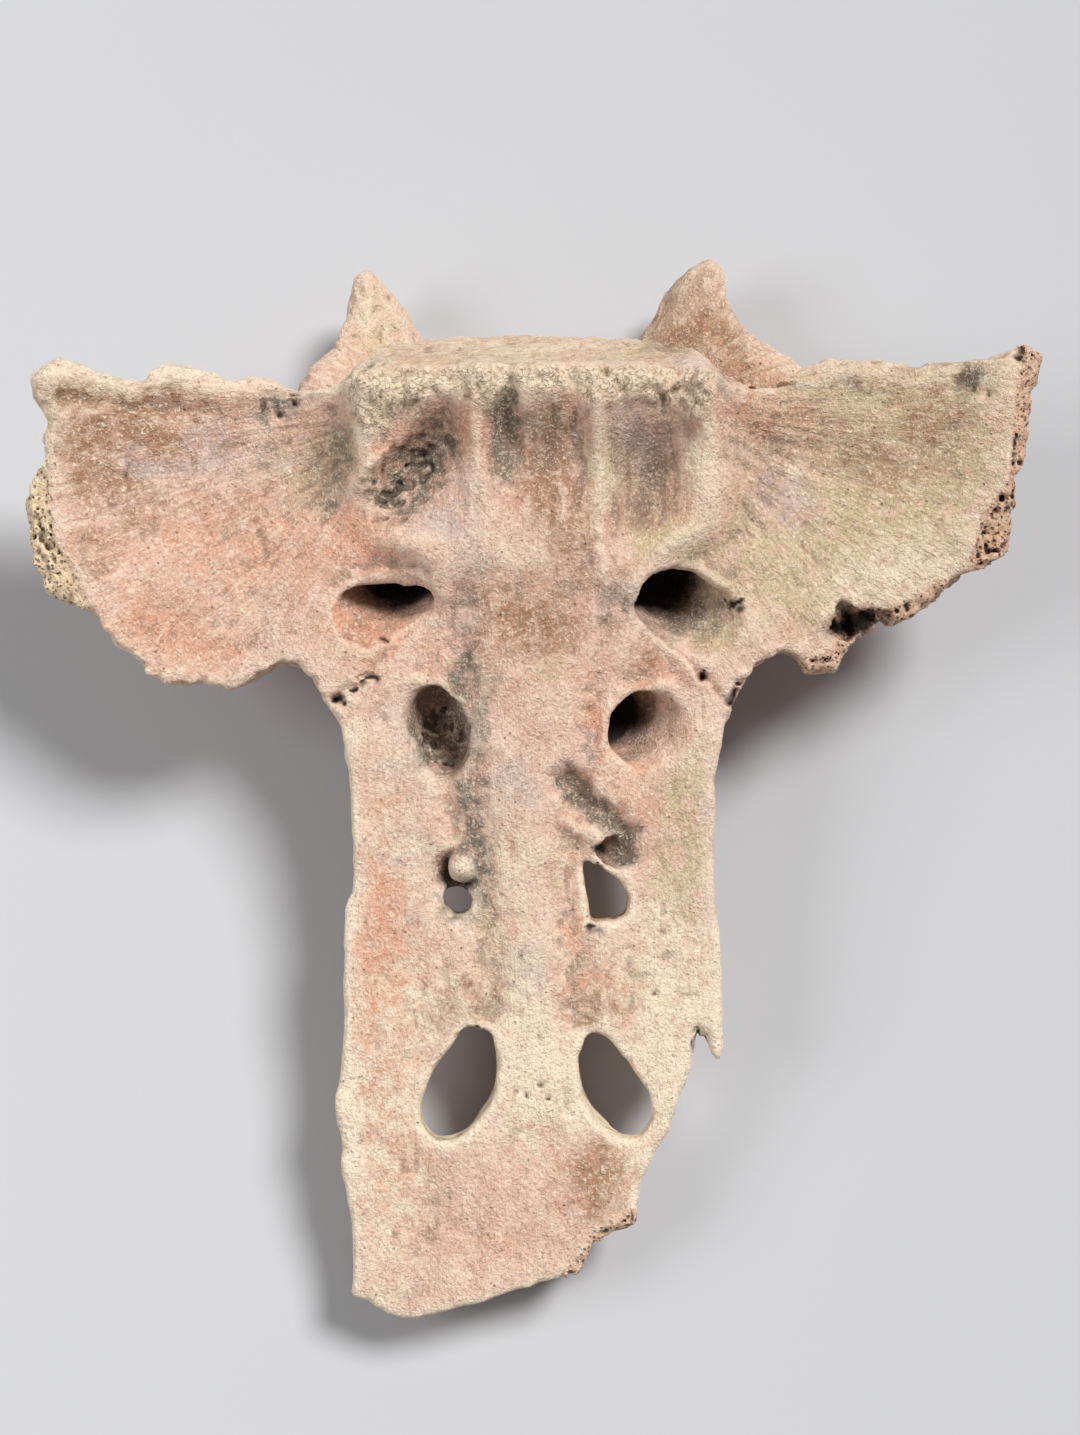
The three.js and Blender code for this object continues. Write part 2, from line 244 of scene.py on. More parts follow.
bone_outline = curve_through(LEFT_WING + LEFT_SIDE + TAIL_END + RIGHT_SIDE + RIGHT_WING)
print("Outline points:", len(bone_outline))

# %% [markdown]
# ## Front and back of the plate
#
# Most of the sacrum is a thick plate. Its pelvic face is nearly flat: a low column of vertebral bodies with
# slightly sunken sides. Its back is a roof, the arch over the nerve canal, that stands high at the head end
# and dies away at the tail, with a row of worn spines along its ridge. Both are heights over x and y, so
# each is one formula.


# %% Heights of the two faces
def front_height(x, y):
    """Column level blended to side level across the column's flank; wings dip, then lift to their ends."""
    out = np.abs(x)
    column = profile(y, (-140, 4), (-100, 2), (-60, 0), (0, -0.5), (40, -1), (62, -2), (80, 3))
    half = profile(y, (-140, 20), (-100, 14), (-85, 9), (-60, 11), (-20, 13), (10, 14), (30, 19), (46, 33),
                   (62, 37), (85, 39))
    side = profile(y, (-140, 2), (-85, 0), (-40, -2.5), (0, -4), (30, -6), (55, -9), (85, -9))
    wing = (5 * ramp(out, 85, 121) - 2 * hump(out, 68, 16)) * ramp(out, 50, 66) * ramp(y, 0, 10)
    flank = 12 + 10 * ramp(y, 32, 56)
    return mix(column, side, ramp(out, half, half + flank)) + wing


def arch_height(x, y):
    """Arch level blended to the thin side plate; the wings thin out towards their ends and tail margin."""
    out = np.abs(x)
    arch = profile(y, (-140, -10), (-110, -15), (-85, -19), (-40, -27), (0, -37), (40, -50), (85, -63))
    half = profile(y, (-140, 9), (-85, 12), (-40, 15), (0, 19), (40, 25), (85, 29))
    side = profile(y, (-140, -5), (-110, -6.5), (-85, -8), (-40, -12), (0, -17), (30, -25), (55, -29),
                   (85, -24))
    thinner = 9 * ramp(out, 60, 120) * ramp(y, 0, 20)
    return mix(arch, side, ramp(out, 0.75 * half, half + 13)) + thinner


def crest_height(x, y):
    """Worn spines in a row on the arch: a height along y, spread across x as a narrow bell."""
    along = profile(y, (-125, 0), (-112, 2), (-104, 5), (-96, 6), (-86, 5), (-76, 10), (-64, 12), (-54, 9),
                    (-44, 5), (-34, 8), (-22, 10), (-12, 8), (0, 4), (12, 6), (22, 7), (33, 3), (45, 4),
                    (60, 5.5), (72, 3), (85, 0))
    wide = profile(y, (-125, 4), (-64, 5), (0, 6), (85, 8))
    return along * np.exp(-np.abs(x / wide) ** 3)


print("Plate at its middle, mm:", float(front_height(0.0, 0.0)), float(arch_height(0.0, 0.0)))

# %% [markdown]
# ## Unevenness
#
# Nothing on a weathered bone has an even edge. Noise on a lattice gives that: random numbers at the corners
# of cells, blended smoothly between them. It roughens the skin later, and here it also lets drawn lines and
# spots wander, by moving the place that is looked up.


# %% Noise, seeds and wandering
def lattice_noise(x, y, z, cell, seed):
    """Random numbers from -1 to 1 on a lattice of the given cell, blended smoothly between its corners."""
    table = np.random.default_rng(seed).random((32, 32, 32)).astype(np.float32)
    x, y, z = np.broadcast_arrays(x, y, z)
    corner = []
    weights = []
    for place in (x, y, z):
        place = np.asarray(place, dtype=np.float32) / cell
        low = np.floor(place).astype(np.int32)
        u = place - low
        u = u * u * (3 - 2 * u)
        corner.append(low)
        weights.append((1 - u, u))
    total = np.zeros(x.shape, dtype=np.float32)
    for i, j, k in np.ndindex(2, 2, 2):
        value = table[(corner[0] + i) & 31, (corner[1] + j) & 31, (corner[2] + k) & 31]
        total += weights[0][i] * weights[1][j] * weights[2][k] * value
    return 2 * total - 1


def nearest_seed(x, y, z, cell, seed):
    """Distance to the nearest of random seeds, one in each cell of a lattice, in units of the cell."""
    table = np.random.default_rng(seed).random((32, 32, 32, 3)).astype(np.float32)
    place = np.stack([x, y, z], axis=-1).astype(np.float32) / cell
    corner = np.floor(place).astype(np.int32)
    nearest = np.full(place.shape[:-1], 9.0, dtype=np.float32)
    for step in np.ndindex(3, 3, 3):
        there = corner + np.array(step) - 1
        i, j, k = np.moveaxis(there & 31, -1, 0)
        apart = there + table[i, j, k] - place
        nearest = np.minimum(nearest, (apart**2).sum(axis=-1))
    return np.sqrt(nearest)


def wander(x, y, far, cell, seed):
    """Move a place by up to far in each direction, by two noises of the given cell."""
    return x + far * lattice_noise(x, y, 0.0, cell, seed), y + far * lattice_noise(x, y, 0.0, cell, seed + 50)


print("Noise at three places:", lattice_noise(np.array([1.0, 20.0, 50.0]), 0.0, 0.0, 3.0, 5).round(2))

# %% [markdown]
# ## Relief of the pelvic face
#
# Up close the face is not flat at all. There are hollows beside the shoulders of the first vertebra, a
# groove left of its middle, ridges, lips over the nerve openings, cracks along the old growth lines and
# small pits. Each is a bell of its own place, size and turn, or a bell drawn along a line. They are added
# up into one height.

# %% Hollows, ridges, grooves and pits
# Each row: x, y, half length, half width, turn in degrees, height
SWELLINGS = (
    (0, 61, 34, 9, 0, -3.0),
    (-29.5, 56.5, 13, 7.0, 48, -6.5),
    (-36.5, 61.5, 10, 1.7, 42, 2.2),
    (-24, 68, 8, 4, 30, -1.2),
    (25, 56, 15, 8, 75, -6.0),
    (25, 47, 9, 7, 0, -3.0),
    (-7.4, 67.5, 9.5, 2.8, 90, -4.4),
    (-15, 64, 12, 3.0, 92, 3.4),
    (2, 64, 11, 5, 90, -1.4),
    (13, 64, 12, 2.6, 95, 2.6),
    (35, 58, 9, 3, 110, 1.2),
    (-41.5, 67, 14, 4.0, 92, 3.4),
    (39, 66, 17, 4.2, 97, 3.2),
    (-52, 60, 14, 6, 65, -2.2),
    (53, 64, 14, 6, 110, -1.8),
    (-35, 40.5, 12, 5, 0, 3.0),
    (33, 42, 10, 5, 0, 2.0),
    (-10, 38, 6, 12, 0, 0.8),
    (8, 30, 4, 14, 0, -0.8),
    (-43, 18, 8, 6, 30, 1.4),
    (46, 21, 7, 6, -30, 1.2),
    (-63, 43, 3.2, 2.8, 0, 1.2),
    (-66.2, 43, 1.1, 3.6, 20, -1.4),
    (-74, 22, 3, 1.6, 10, -0.8),
    (-80, 62, 16, 8, 10, -1.2),
    (-98, 55, 8, 5, 60, -0.8),
    (-92, 34, 14, 7, 20, 0.9),
    (70, 62, 18, 8, -8, -1.2),
    (96, 66, 8, 10, 0, -1.0),
    (85, 42, 16, 9, 20, 1.2),
    (-30, -25, 9, 14, 0, -0.8),
    (30, -28, 9, 14, 0, -0.8),
    (-30, -60, 10, 12, 0, -0.7),
    (28, -60, 9, 12, 0, -0.6),
    (0, -98, 9, 7, 0, -0.8),
    (14, -103, 7, 6, 0, -1.2),
    (-22, -116, 10, 10, 0, -1.2),
    (-20.5, -40, 7.5, 5, 100, -1.6),
)
# Each row: x, y, radius, depth
PITS = (
    (-47.6, 4.6, 1.0, 2.0), (-46.3, 3.2, 0.8, 1.6), (-40, 9.4, 0.9, 1.6), (-38.3, 8.4, 0.8, 1.4),
    (-43.5, 6.6, 0.8, 1.2), (-36.8, 18.4, 1.1, 1.8), (46.8, 25.6, 0.9, 1.4), (45.6, 27.0, 0.7, 1.2),
    (38.6, 9.6, 1.0, 2.0), (44.6, 3.4, 1.0, 2.0), (45.8, 5.6, 1.1, 2.0), (46.6, 7.8, 0.9, 1.8),
    (100.4, 79.6, 3.1, 2.2), (102.6, 77.4, 1.0, 1.2), (105.5, 76.4, 0.9, 1.0), (113, 85, 1.4, 2.2),
    (75, 79, 1.0, 1.0), (-3, -88, 0.8, 1.2), (0, -86, 0.8, 1.2), (2, -89, 0.8, 1.2),
    (-5.2, -87.4, 0.6, 0.9), (27, -64.5, 0.7, 1.0), (-65, 73.5, 1.6, 1.4), (-61.5, 72, 1.4, 1.6),
    (-58.8, 74.4, 1.2, 1.4), (-98, 57, 1.0, 0.9), (-82, 71, 1.0, 0.8), (-24.8, -1.5, 1.2, 1.2),
)
# Each row: half width, height, points
LINES = (
    (4.2, 0.8, ((-40, 76), (-20, 74.6), (0, 75.2), (20, 75.6), (37, 78))),
    (3.0, 1.1, ((-117, 79), (-106, 79), (-97, 77.2), (-87, 80), (-78, 78), (-70, 77))),
    (1.6, -1.0, ((-112, 75), (-104, 74.4), (-96, 73), (-86, 73.6), (-76, 73))),
    (2.4, -1.6, ((-22, -14), (-20.5, -24), (-18, -32))),
    (3.2, -3.8, ((6.2, -14.8), (10.4, -18.8), (15.2, -22.8), (19, -26.8), (20, -32))),
    (1.8, 1.2, ((6.5, -25), (10, -26.6), (13, -27.4))),
    (0.9, -1.0, ((-26, 25), (-33, 18), (-40, 10.5), (-48, 5))),
    (0.8, -1.0, ((23, 26), (28, 20), (33, 16), (37, 11), (43, 4))),
    (1.5, 1.0, ((25, 22), (31, 15.5), (37, 8.5))),
    (4.6, -2.6, ((-19, 26), (-18, 12), (-16.5, -4), (-15.5, -20), (-13, -45), (-12, -68))),
    (4.2, -2.1, ((17, 26), (14, 12), (11, -8), (7, -28), (7.5, -50), (9, -70))),
    (2.2, 1.4, ((13.5, 73), (14.6, 62), (13.8, 48), (15, 32))),
    (1.3, 0.7, ((4.4, 73), (5.6, 66), (4.4, 56), (6, 47))),
    (1.2, -0.8, ((9.2, 73), (8, 66), (9.6, 58), (8.6, 49))),
    (2.0, 1.2, ((-49, 25), (-43, 32), (-34, 33.6), (-26, 32.2), (-22.5, 28))),
    (2.0, 1.2, ((22.5, 27), (25, 33), (31, 35.4), (36.5, 35.4), (42, 31.5))),
    (1.5, 0.8, ((-31, 8), (-24, 8), (-17.5, 1), (-15.5, -6))),
    (1.5, 0.8, ((14.5, -6), (15, 1), (20, 6), (30, 7))),
    (0.5, -0.5, ((-98, 60), (-97.2, 56), (-96.4, 50))),
    (0.5, -0.5, ((-86, 66), (-83.5, 63), (-82, 59))),
    (0.45, -0.45, ((-60, 22), (-57.4, 19.2))),
    (0.4, -0.5, ((7.6, 14.6), (9.0, 17.6))),
    (0.5, 0.3, ((56, 62), (60, 58))),
)


def bell(x, y, row):
    """A bell turned by an angle: its half length lies along the turn, its half width across."""
    middle_x, middle_y, long, wide, turn = row[:5]
    c = math.cos(math.radians(turn))
    s = math.sin(math.radians(turn))
    along = ((x - middle_x) * c + (y - middle_y) * s) / long
    across = ((y - middle_y) * c - (x - middle_x) * s) / wide
    return np.exp(-(along**2) - across**2)


def face_relief(x, y):
    """Sum of every swelling, pit and line, as a height added to the pelvic face."""
    height = sum(row[5] * bell(x, y, row) for row in SWELLINGS)
    x, y = wander(x, y, 0.8, 2.2, 61)
    height = height - sum(depth * bell(x, y, (pit_x, pit_y, r, r, 0)) for pit_x, pit_y, r, depth in PITS)
    for half, lift, points in LINES:
        height = height + lift * hump(stroke_distance(x, y, points), 0, half)
    return height


print("Relief entries:", len(SWELLINGS) + len(PITS) + len(LINES))

# %% [markdown]
# ## The block of points
#
# A sheet of x and y can't be folded round holes, tunnels and horns without seams. So the bone is described
# as a field instead: one number at every point of a fine block, negative in bone and positive in air. Parts
# are joined by taking the softened minimum and cut by the softened maximum, and the skin is wherever the
# field is zero.

# %% The block
STEP = 0.7
xs = np.arange(-126.0, 124.0, STEP, dtype=np.float32)
ys = np.arange(-144.0, 122.0, STEP, dtype=np.float32)
zs = np.arange(-78.0, 10.0, STEP, dtype=np.float32)
flat_x, flat_y = np.meshgrid(xs, ys, indexing="ij")
block_x = xs[:, None, None]
block_y = ys[None, :, None]
block_z = zs[None, None, :]
print("Points in the block:", len(xs) * len(ys) * len(zs))

# %% [markdown]
# ## Plate, body, and joining processes
#
# The plate is the space between front and back, rounded over the outline. The body of the first vertebra is
# a squarish drum with a tilted, slightly domed end face, where the last loin vertebra sat. The two joining
# processes are thick blades that sweep up behind it. They are laid out here as distances and joined with
# generous fillets. The broken wing ends slope away from a sharp line where the outer bone broke: a lowering
# that grows with the distance past it.

# %% Broken wing ends
LEFT_BREAK = (
    (-115.4, 61.5), (-114.6, 55), (-113.6, 47), (-112.4, 41), (-108.8, 35.7), (-106.6, 30), (-103.6, 24),
    (-99, 16), (-99, -200), (0, -200), (0, 140), (-140, 140), (-140, 61.5),
)
RIGHT_BREAK = (
    (112.4, 88), (111.5, 80), (110.5, 68), (109.5, 56), (103.4, 48), (101.2, 40), (99.6, 36), (95.6, 33),
    (89.5, 28), (84, 25.5), (84, -200), (0, -200), (0, 140), (112.6, 140),
)
BREAK_SLOPE = 0.55


def past_break(x, y):
    """How far a point lies past the line where the outer bone of a wing broke away, zero short of it."""
    left = outline_distance(x, y, np.array(LEFT_BREAK))
    right = outline_distance(x, y, np.array(RIGHT_BREAK))
    return np.where(x < 0, np.maximum(left, 0.0), np.maximum(right, 0.0))


tip = past_break(np.array([-121.0]), np.array([48.0]))
print("Past the break at the left tip, mm:", round(float(tip[0]), 1))

# %% Plate with rounded margins
THIN_EDGE = 3.0
MARGIN_ROUNDING = 2.2
HEAD_ROUNDING = 5.5

front = front_height(flat_x, flat_y) - BREAK_SLOPE * past_break(flat_x, flat_y)
back = arch_height(flat_x, flat_y) - crest_height(flat_x, flat_y)
edge = outline_distance(flat_x, flat_y, bone_outline)
rounding = mix(MARGIN_ROUNDING, HEAD_ROUNDING, ramp(flat_y, 60, 76))
solid = soft_max(block_z - front[..., None], back[..., None] - block_z, THIN_EDGE)
solid = soft_max(solid, edge[..., None], rounding[..., None]).astype(np.float32)
print("Thickest place of the plate, mm:", round(float((front - back)[edge < 0].max()), 1))

# %% Body of the first vertebra
BODY_HALF = 39.0
BODY_HIGH = 20.5
BODY_MIDDLE = (-1.5, -17.5)
BODY_RIM = 80.0
BODY_SLOPE = math.radians(19.6)
BODY_DOME = 1.5
BODY_TAIL = 40.0
BODY_FILLET = 12.0
RIM_LEVEL = 3.0
RIM_ROUNDING = 2.4
FRONT_POWER = 2.6
REAR_POWER = 2.0

waist = profile(block_y, (36, 0.74), (52, 0.78), (62, 0.81), (70, 0.88), (80, 1.0), (96, 1.02))
out_x = np.abs(block_x - BODY_MIDDLE[0]) / (BODY_HALF * waist)
out_z = np.abs(block_z - BODY_MIDDLE[1]) / (BODY_HIGH * waist)
power = mix(REAR_POWER, FRONT_POWER, ramp(block_z, BODY_MIDDLE[1] - 3.0, BODY_MIDDLE[1] + 3.0))
ring = (out_x**power + out_z**power) ** (1.0 / power)
dome = BODY_DOME * (1.0 - np.minimum(ring, 1.0) ** 2)
cap = block_y - BODY_RIM - math.tan(BODY_SLOPE) * (RIM_LEVEL - block_z) - dome
body = soft_max((ring - 1.0) * BODY_HIGH, cap * math.cos(BODY_SLOPE), RIM_ROUNDING)
body = soft_max(body, BODY_TAIL - block_y, 6.0)
solid = soft_min(solid, body, BODY_FILLET).astype(np.float32)
waist_half = BODY_HALF * float(waist.min())
print("End face across, mm:", round(2 * BODY_HALF, 1), "and at the waist:", round(2 * waist_half, 1))

# %% Joining processes
LEFT_PROCESS = (
    (-30, 78), (-29, 90), (-30.6, 96.5), (-33, 101), (-36, 106), (-39.5, 109.5), (-41.5, 112.4),
    (-44.2, 113.3), (-47, 110.8), (-47.8, 106), (-48.5, 101), (-50.2, 96), (-52.6, 92), (-56.8, 87),
    (-60, 82), (-60, 72), (-40, 66),
)
RIGHT_PROCESS = (
    (24, 78), (24.5, 95), (26.8, 99.5), (29.5, 102.6), (31.7, 106.4), (34.3, 110.6), (37.3, 114.1),
    (40.1, 115.7), (43.4, 116.8), (46.3, 114.4), (46.9, 109.7), (47.6, 105.4), (49.2, 101.2), (51.6, 97.8),
    (55.4, 94.4), (60, 91), (65, 87.4), (69, 83), (67, 73), (40, 66),
)
PROCESS_LEAN = 0.35
PROCESS_OUT = 40.0
PROCESS_FILLET = 8.0

blade_middle = profile(block_y, (64, -44), (72, -47), (82, -53), (95, -57.5), (105, -56.5), (117, -53.5))
blade_thick = profile(block_y, (64, 15), (76, 14.5), (92, 13.5), (104, 9), (117, 4.5))
for outline, side in ((LEFT_PROCESS, -1.0), (RIGHT_PROCESS, 1.0)):
    blade_edge = outline_distance(flat_x, flat_y, curve_through(outline))[..., None]
    middle = blade_middle + PROCESS_LEAN * (side * block_x - PROCESS_OUT)
    blade = soft_max(np.abs(block_z - middle) - blade_thick, blade_edge, PROCESS_FILLET)
    solid = soft_min(solid, blade, PROCESS_FILLET).astype(np.float32)
print("Bone volume so far, cubic cm:", round(float((solid < 0).sum()) * STEP**3 / 1000, 1))

# %% [markdown]
# ## Carving the face
#
# The relief is carved by sliding the field up or down near the pelvic face only, so the back keeps its own
# shape.

# %% Relief
COLUMN_HALF = 40.0
RELIEF_DEPTH = 14.0
RELIEF_FADE = 4.0

relief = face_relief(flat_x, flat_y).astype(np.float32)
half_way = 0.5 * (front + back)
middle_level = np.where(np.abs(flat_x) < COLUMN_HALF, np.maximum(front - RELIEF_DEPTH, half_way), half_way)
near_face = ramp(block_z, middle_level[..., None] - RELIEF_FADE, middle_level[..., None] + RELIEF_FADE)
solid -= relief[..., None] * near_face
del near_face
print("Deepest and highest relief, mm:", round(float(relief.min()), 1), round(float(relief.max()), 1))

# %% [markdown]
# ## Nerve openings
#
# The nerve canal runs the length of the bone under the arch. Four pairs of openings lead the nerves out to
# the pelvic face. The upper two pairs are slanting tunnels, dark where they dive under their lip. The lower
# two pairs go right through, because the bone is thin there. A tunnel is its mouth's outline, slid sideways
# more and more with depth.

# %% Canal
CANAL_END = -112.0
canal_level = profile(block_y, (-112, -16), (-85, -13.5), (-40, -19), (0, -27), (40, -38), (85, -48.5),
                      (100, -51))
canal_half = profile(block_y, (-112, 5), (-85, 5.5), (-40, 9), (0, 12), (40, 15), (85, 17.5))
canal_high = profile(block_y, (-112, 2.5), (-85, 2.5), (-40, 3.8), (0, 5.5), (40, 6.8), (85, 7.6))
canal = (np.hypot(block_x / canal_half, (block_z - canal_level) / canal_high) - 1.0) * canal_high
canal = soft_max(canal, CANAL_END - block_y, 3.0)
solid = soft_max(solid, -canal, 2.5).astype(np.float32)
del canal
print("Canal across at the head end, mm:", round(2 * float(canal_half.max()), 1))

# %% Slanting tunnels and through holes
# Each row: heading, lean, reach, drift, narrowing per mm, depth, lip rounding, depth of full painted shade,
# mouth
TUNNELS = (
    ((0.55, 0.85), 1.2, 4.0, 0.85, 0.006, 32.0, 2.0, 17.0, (
        (-47, 28.4), (-42, 30.8), (-36, 31.8), (-32, 31.2), (-27.5, 30.4), (-25.3, 27.5), (-27.6, 23.2),
        (-33, 19.5), (-39, 17), (-45, 18.5), (-48.5, 24))),
    ((-0.70, 0.70), 1.4, 4.0, 0.95, 0.006, 32.0, 2.4, 20.0, (
        (23.4, 28.5), (25.4, 32), (30, 34.2), (35.5, 34.2), (40, 31.4), (45, 27.4), (47, 22), (43, 16.5),
        (36, 15.4), (28, 18.5), (23.6, 24))),
    ((0.5, 0.8), 1.6, 3.0, 0.12, 0.018, 12.0, 2.4, 60.0, (
        (-28.5, 6.8), (-23, 6.6), (-18.4, 1), (-16.6, -6), (-18.2, -12.4), (-22.3, -16.4), (-28, -12),
        (-31.2, -5), (-31.8, 2))),
    ((-1.0, 0.35), 1.5, 4.0, 0.80, 0.010, 26.0, 3.0, 18.0, (
        (18.2, -3), (19.6, 2.0), (23.6, 5.2), (29.5, 5.2), (34.4, 1.4), (35, -5), (30, -10), (23.5, -11.6),
        (19.4, -8.4))),
)
LEFT_THIRD = (
    (-22.8, -42), (-21, -39.9), (-18, -39.9), (-16, -41.8), (-16.2, -44.4), (-18.4, -46.2), (-21, -45.8),
)
RIGHT_THIRD = (
    (10.5, -34), (13, -34.5), (17, -37), (20.5, -41), (20.8, -44), (19.5, -47), (15, -48), (11.8, -47.5),
    (10.8, -42), (10.3, -37),
)
LEFT_FOURTH = (
    (-17.5, -72.8), (-15, -72.5), (-12, -73.3), (-10.8, -75), (-10.2, -80), (-10.3, -85), (-11.5, -89.5),
    (-14.5, -94), (-17, -96.8), (-20, -98.5), (-23.5, -98.8), (-26.5, -97), (-28, -93.5), (-28, -90),
    (-26.5, -86), (-24.5, -82), (-21.5, -78), (-19, -74.5),
)
RIGHT_FOURTH = (
    (11, -74.5), (13, -73.7), (15.5, -74.5), (17.5, -77), (20, -80), (23, -84), (25.5, -87.5), (26.2, -91),
    (25.8, -94.5), (23.5, -97.5), (20.5, -98), (17, -97), (13.5, -94), (10.5, -89.5), (9.3, -84), (9, -80),
    (9.8, -76.5),
)


def tunnel_distance(x, y, z, row):
    """The mouth's outline, slid along the heading and drawn in with depth.

    At depth d the slide is lean (1 - e^(-d / reach)) + drift d, and the outline shrinks by narrowing d.
    """
    heading, lean, reach, drift, narrowing, deepest = row[:6]
    mouth = row[8]
    way = np.array(heading) / math.hypot(*heading)
    middle = np.mean(mouth, axis=0)
    depth = front_height(x, y) - z
    d = np.maximum(depth, 0.0)
    slide = lean * (1.0 - np.exp(-d / reach)) + drift * d
    tight = np.maximum(1.0 - narrowing * d, 0.3)
    mouth_x = (x - way[0] * slide - middle[0]) / tight + middle[0]
    mouth_y = (y - way[1] * slide - middle[1]) / tight + middle[1]
    walls = outline_distance(mouth_x, mouth_y, curve_through(mouth, 4)) * tight
    return soft_max(walls, depth - deepest, 4.0)


def window(points, margin):
    """Slices of the block round some points, with a margin in millimetres."""
    low = np.min(points, axis=0) - margin
    high = np.max(points, axis=0) + margin
    across = slice(*np.searchsorted(xs, (low[0], high[0])))
    along = slice(*np.searchsorted(ys, (low[1], high[1])))
    return across, along


HOLE_LIP = 1.8
THROUGH_HOLES = (LEFT_THIRD, RIGHT_THIRD, LEFT_FOURTH, RIGHT_FOURTH)
for row in TUNNELS:
    across, along = window(row[8], 30.0)
    x, y, z = np.broadcast_arrays(block_x[across], block_y[:, along], block_z)
    solid[across, along] = soft_max(solid[across, along], -tunnel_distance(x, y, z, row), row[6])
for mouth in THROUGH_HOLES:
    across, along = window(mouth, 8.0)
    hole = outline_distance(flat_x[across, along], flat_y[across, along], curve_through(mouth))
    solid[across, along] = soft_max(solid[across, along], -hole[..., None], HOLE_LIP)
print("Openings cut:", len(TUNNELS) + len(THROUGH_HOLES))

# %% [markdown]
# ## The knob, the small hollows and the back
#
# A pale knob sits in a dark pit above the small left opening, a dark hollow leads into the right one, and
# the spongy right margin has a cavity. On the back there are small openings beside the spines, as every
# sacrum has. They are balls added to or taken from the field.

# %% Knob, hollows and the openings of the back
# Each row: x, y, z, radius, 1 to add or -1 to take away
BALLS = (
    (-19.2, -36.2, -2.8, 5.7, -1), (-17.8, -35.0, -5.3, 3.7, 1), (15.2, -31.4, -4.6, 3.7, -1),
    (18.8, -31.6, -4.0, 3.2, -1), (12.6, -33.4, -7.0, 3.0, -1), (74.0, 22.6, -10.5, 4.2, -1),
    (79.0, 24.0, -10.0, 3.0, -1), (69.8, 21.6, -9.5, 2.8, -1), (71.8, 25.4, -8.5, 2.3, -1),
    (81.6, 23.2, -9.0, 2.2, -1), (76.4, 22.0, -12.6, 2.4, 1), (71.6, 22.6, -12.4, 1.8, 1),
)
# Each row: y of a pair of openings in the back, how far out, radius
BACK_OPENINGS = ((38.0, 27.0, 4.6), (-2.0, 22.5, 4.2), (-40.0, 17.0, 3.6))
BALL_FILLET = 1.6
BACK_FILLET = 2.5


def add_ball(x0, y0, z0, radius, sign, reach):
    """Join or cut one ball: distance to its middle less its radius."""
    across, along = window(((x0, y0),), radius + 4.0)
    apart = (block_x[across] - x0) ** 2 + (block_y[:, along] - y0) ** 2 + (block_z - z0) ** 2
    ball = np.sqrt(apart) - radius
    part = solid[across, along]
    solid[across, along] = soft_min(part, ball, reach) if sign > 0 else soft_max(part, -ball, reach)


for x0, y0, z0, radius, sign in BALLS:
    add_ball(x0, y0, z0, radius, sign, BALL_FILLET)
for y0, out, radius in BACK_OPENINGS:
    for side in (-1.0, 1.0):
        level = float(arch_height(side * out, y0))
        add_ball(side * out, y0, level + 0.5, radius, -1, BACK_FILLET)
print("Balls:", len(BALLS) + 2 * len(BACK_OPENINGS))

# %% [markdown]
# ## Grain of the bone
#
# Weathered bone is never smooth. Fine unevenness covers it all, the rim of the end face is nubbly, and
# where the outer layer broke off the spongy inside shows as a froth of small pores. Only points near the
# skin matter, so the noise is worked out on that thin band alone and added to the field there. First come
# the masks that say where each kind of roughness belongs. They are functions of the place alone, so the
# same masks later colour the skin.

# %% Where the bone is rough
FAN_MIDDLE = (26.0, 74.0)
FAN_RADIUS = 60.0
PORE = 1.7
RIGHT_RAGGED = ((64, 12), (68, 12.5), (70.5, 15), (73, 19), (77, 22), (83, 23.5), (89, 26), (94, 30))
TAIL_RAGGED = ((7, -129.5), (10.5, -126.5), (13, -121.5), (18, -118.5), (22, -116))


def spongy_share(x, y):
    """1 where the spongy inside shows: past the wing breaks, along the ragged right margin and tail end."""
    past = ramp(past_break(x, y), 0.2, 1.6)
    ragged = 1 - ramp(stroke_distance(x, y, RIGHT_RAGGED), 1.2, 3.4)
    tail = 1 - ramp(stroke_distance(x, y, TAIL_RAGGED), 1.0, 3.0)
    cavity = ramp(bell(x, y, (74.5, 22.6, 8.0, 4.2, 12)), 0.3, 0.6)
    return np.clip(past + ragged + tail + cavity, 0.0, 1.0)


def hollow_share(x, y, z):
    """1 in the spongy hollow beside the left shoulder, and on the floor of the second left nerve opening."""
    loose_x, loose_y = wander(x, y, 2.0, 5.0, 66)
    shoulder = ramp(bell(loose_x, loose_y, (-30, 57, 16, 8.0, 45)), 0.12, 0.75) * ramp(z, -16, -10)
    opening = ramp(bell(x, y, (-23, -5, 9.5, 6.5, 100)), 0.3, 0.6) * (1 - ramp(z, -8, -5)) * ramp(z, -22, -18)
    return shoulder + opening


def rim_share(x, y, z):
    """1 on the nubbly band behind the rim of the end face, deeper at the left and cut by the groove."""
    low = 74.5 - 7.0 * ramp(x, -18, -36) - 3.0 * ramp(x, 12, 30)
    low = low + 2.6 * lattice_noise(x, 0.0, 0.0, 4.0, 24)
    band = ramp(y, low - 2.0, low + 2.5) * (1 - ramp(y, 80.0, 82.0))
    band = band * (1 - 0.8 * bell(x, y, (-7.4, 70, 9, 3.2, 90)))
    return band * (1 - ramp(np.abs(x + 2.0), 40, 45)) * ramp(z, -12, -7)


def wing_share(x, y):
    """1 on the wings, 0 on the column of vertebrae."""
    return ramp(np.abs(x), 38, 52) * ramp(y, -4, 12)


def along_fan(x, y):
    """Distance and turned angle from the shoulder that the fibres of a wing spread from."""
    fan_x = np.abs(x) - FAN_MIDDLE[0]
    fan_y = y - FAN_MIDDLE[1]
    return np.hypot(fan_x, fan_y), FAN_RADIUS * np.arctan2(fan_y, fan_x)


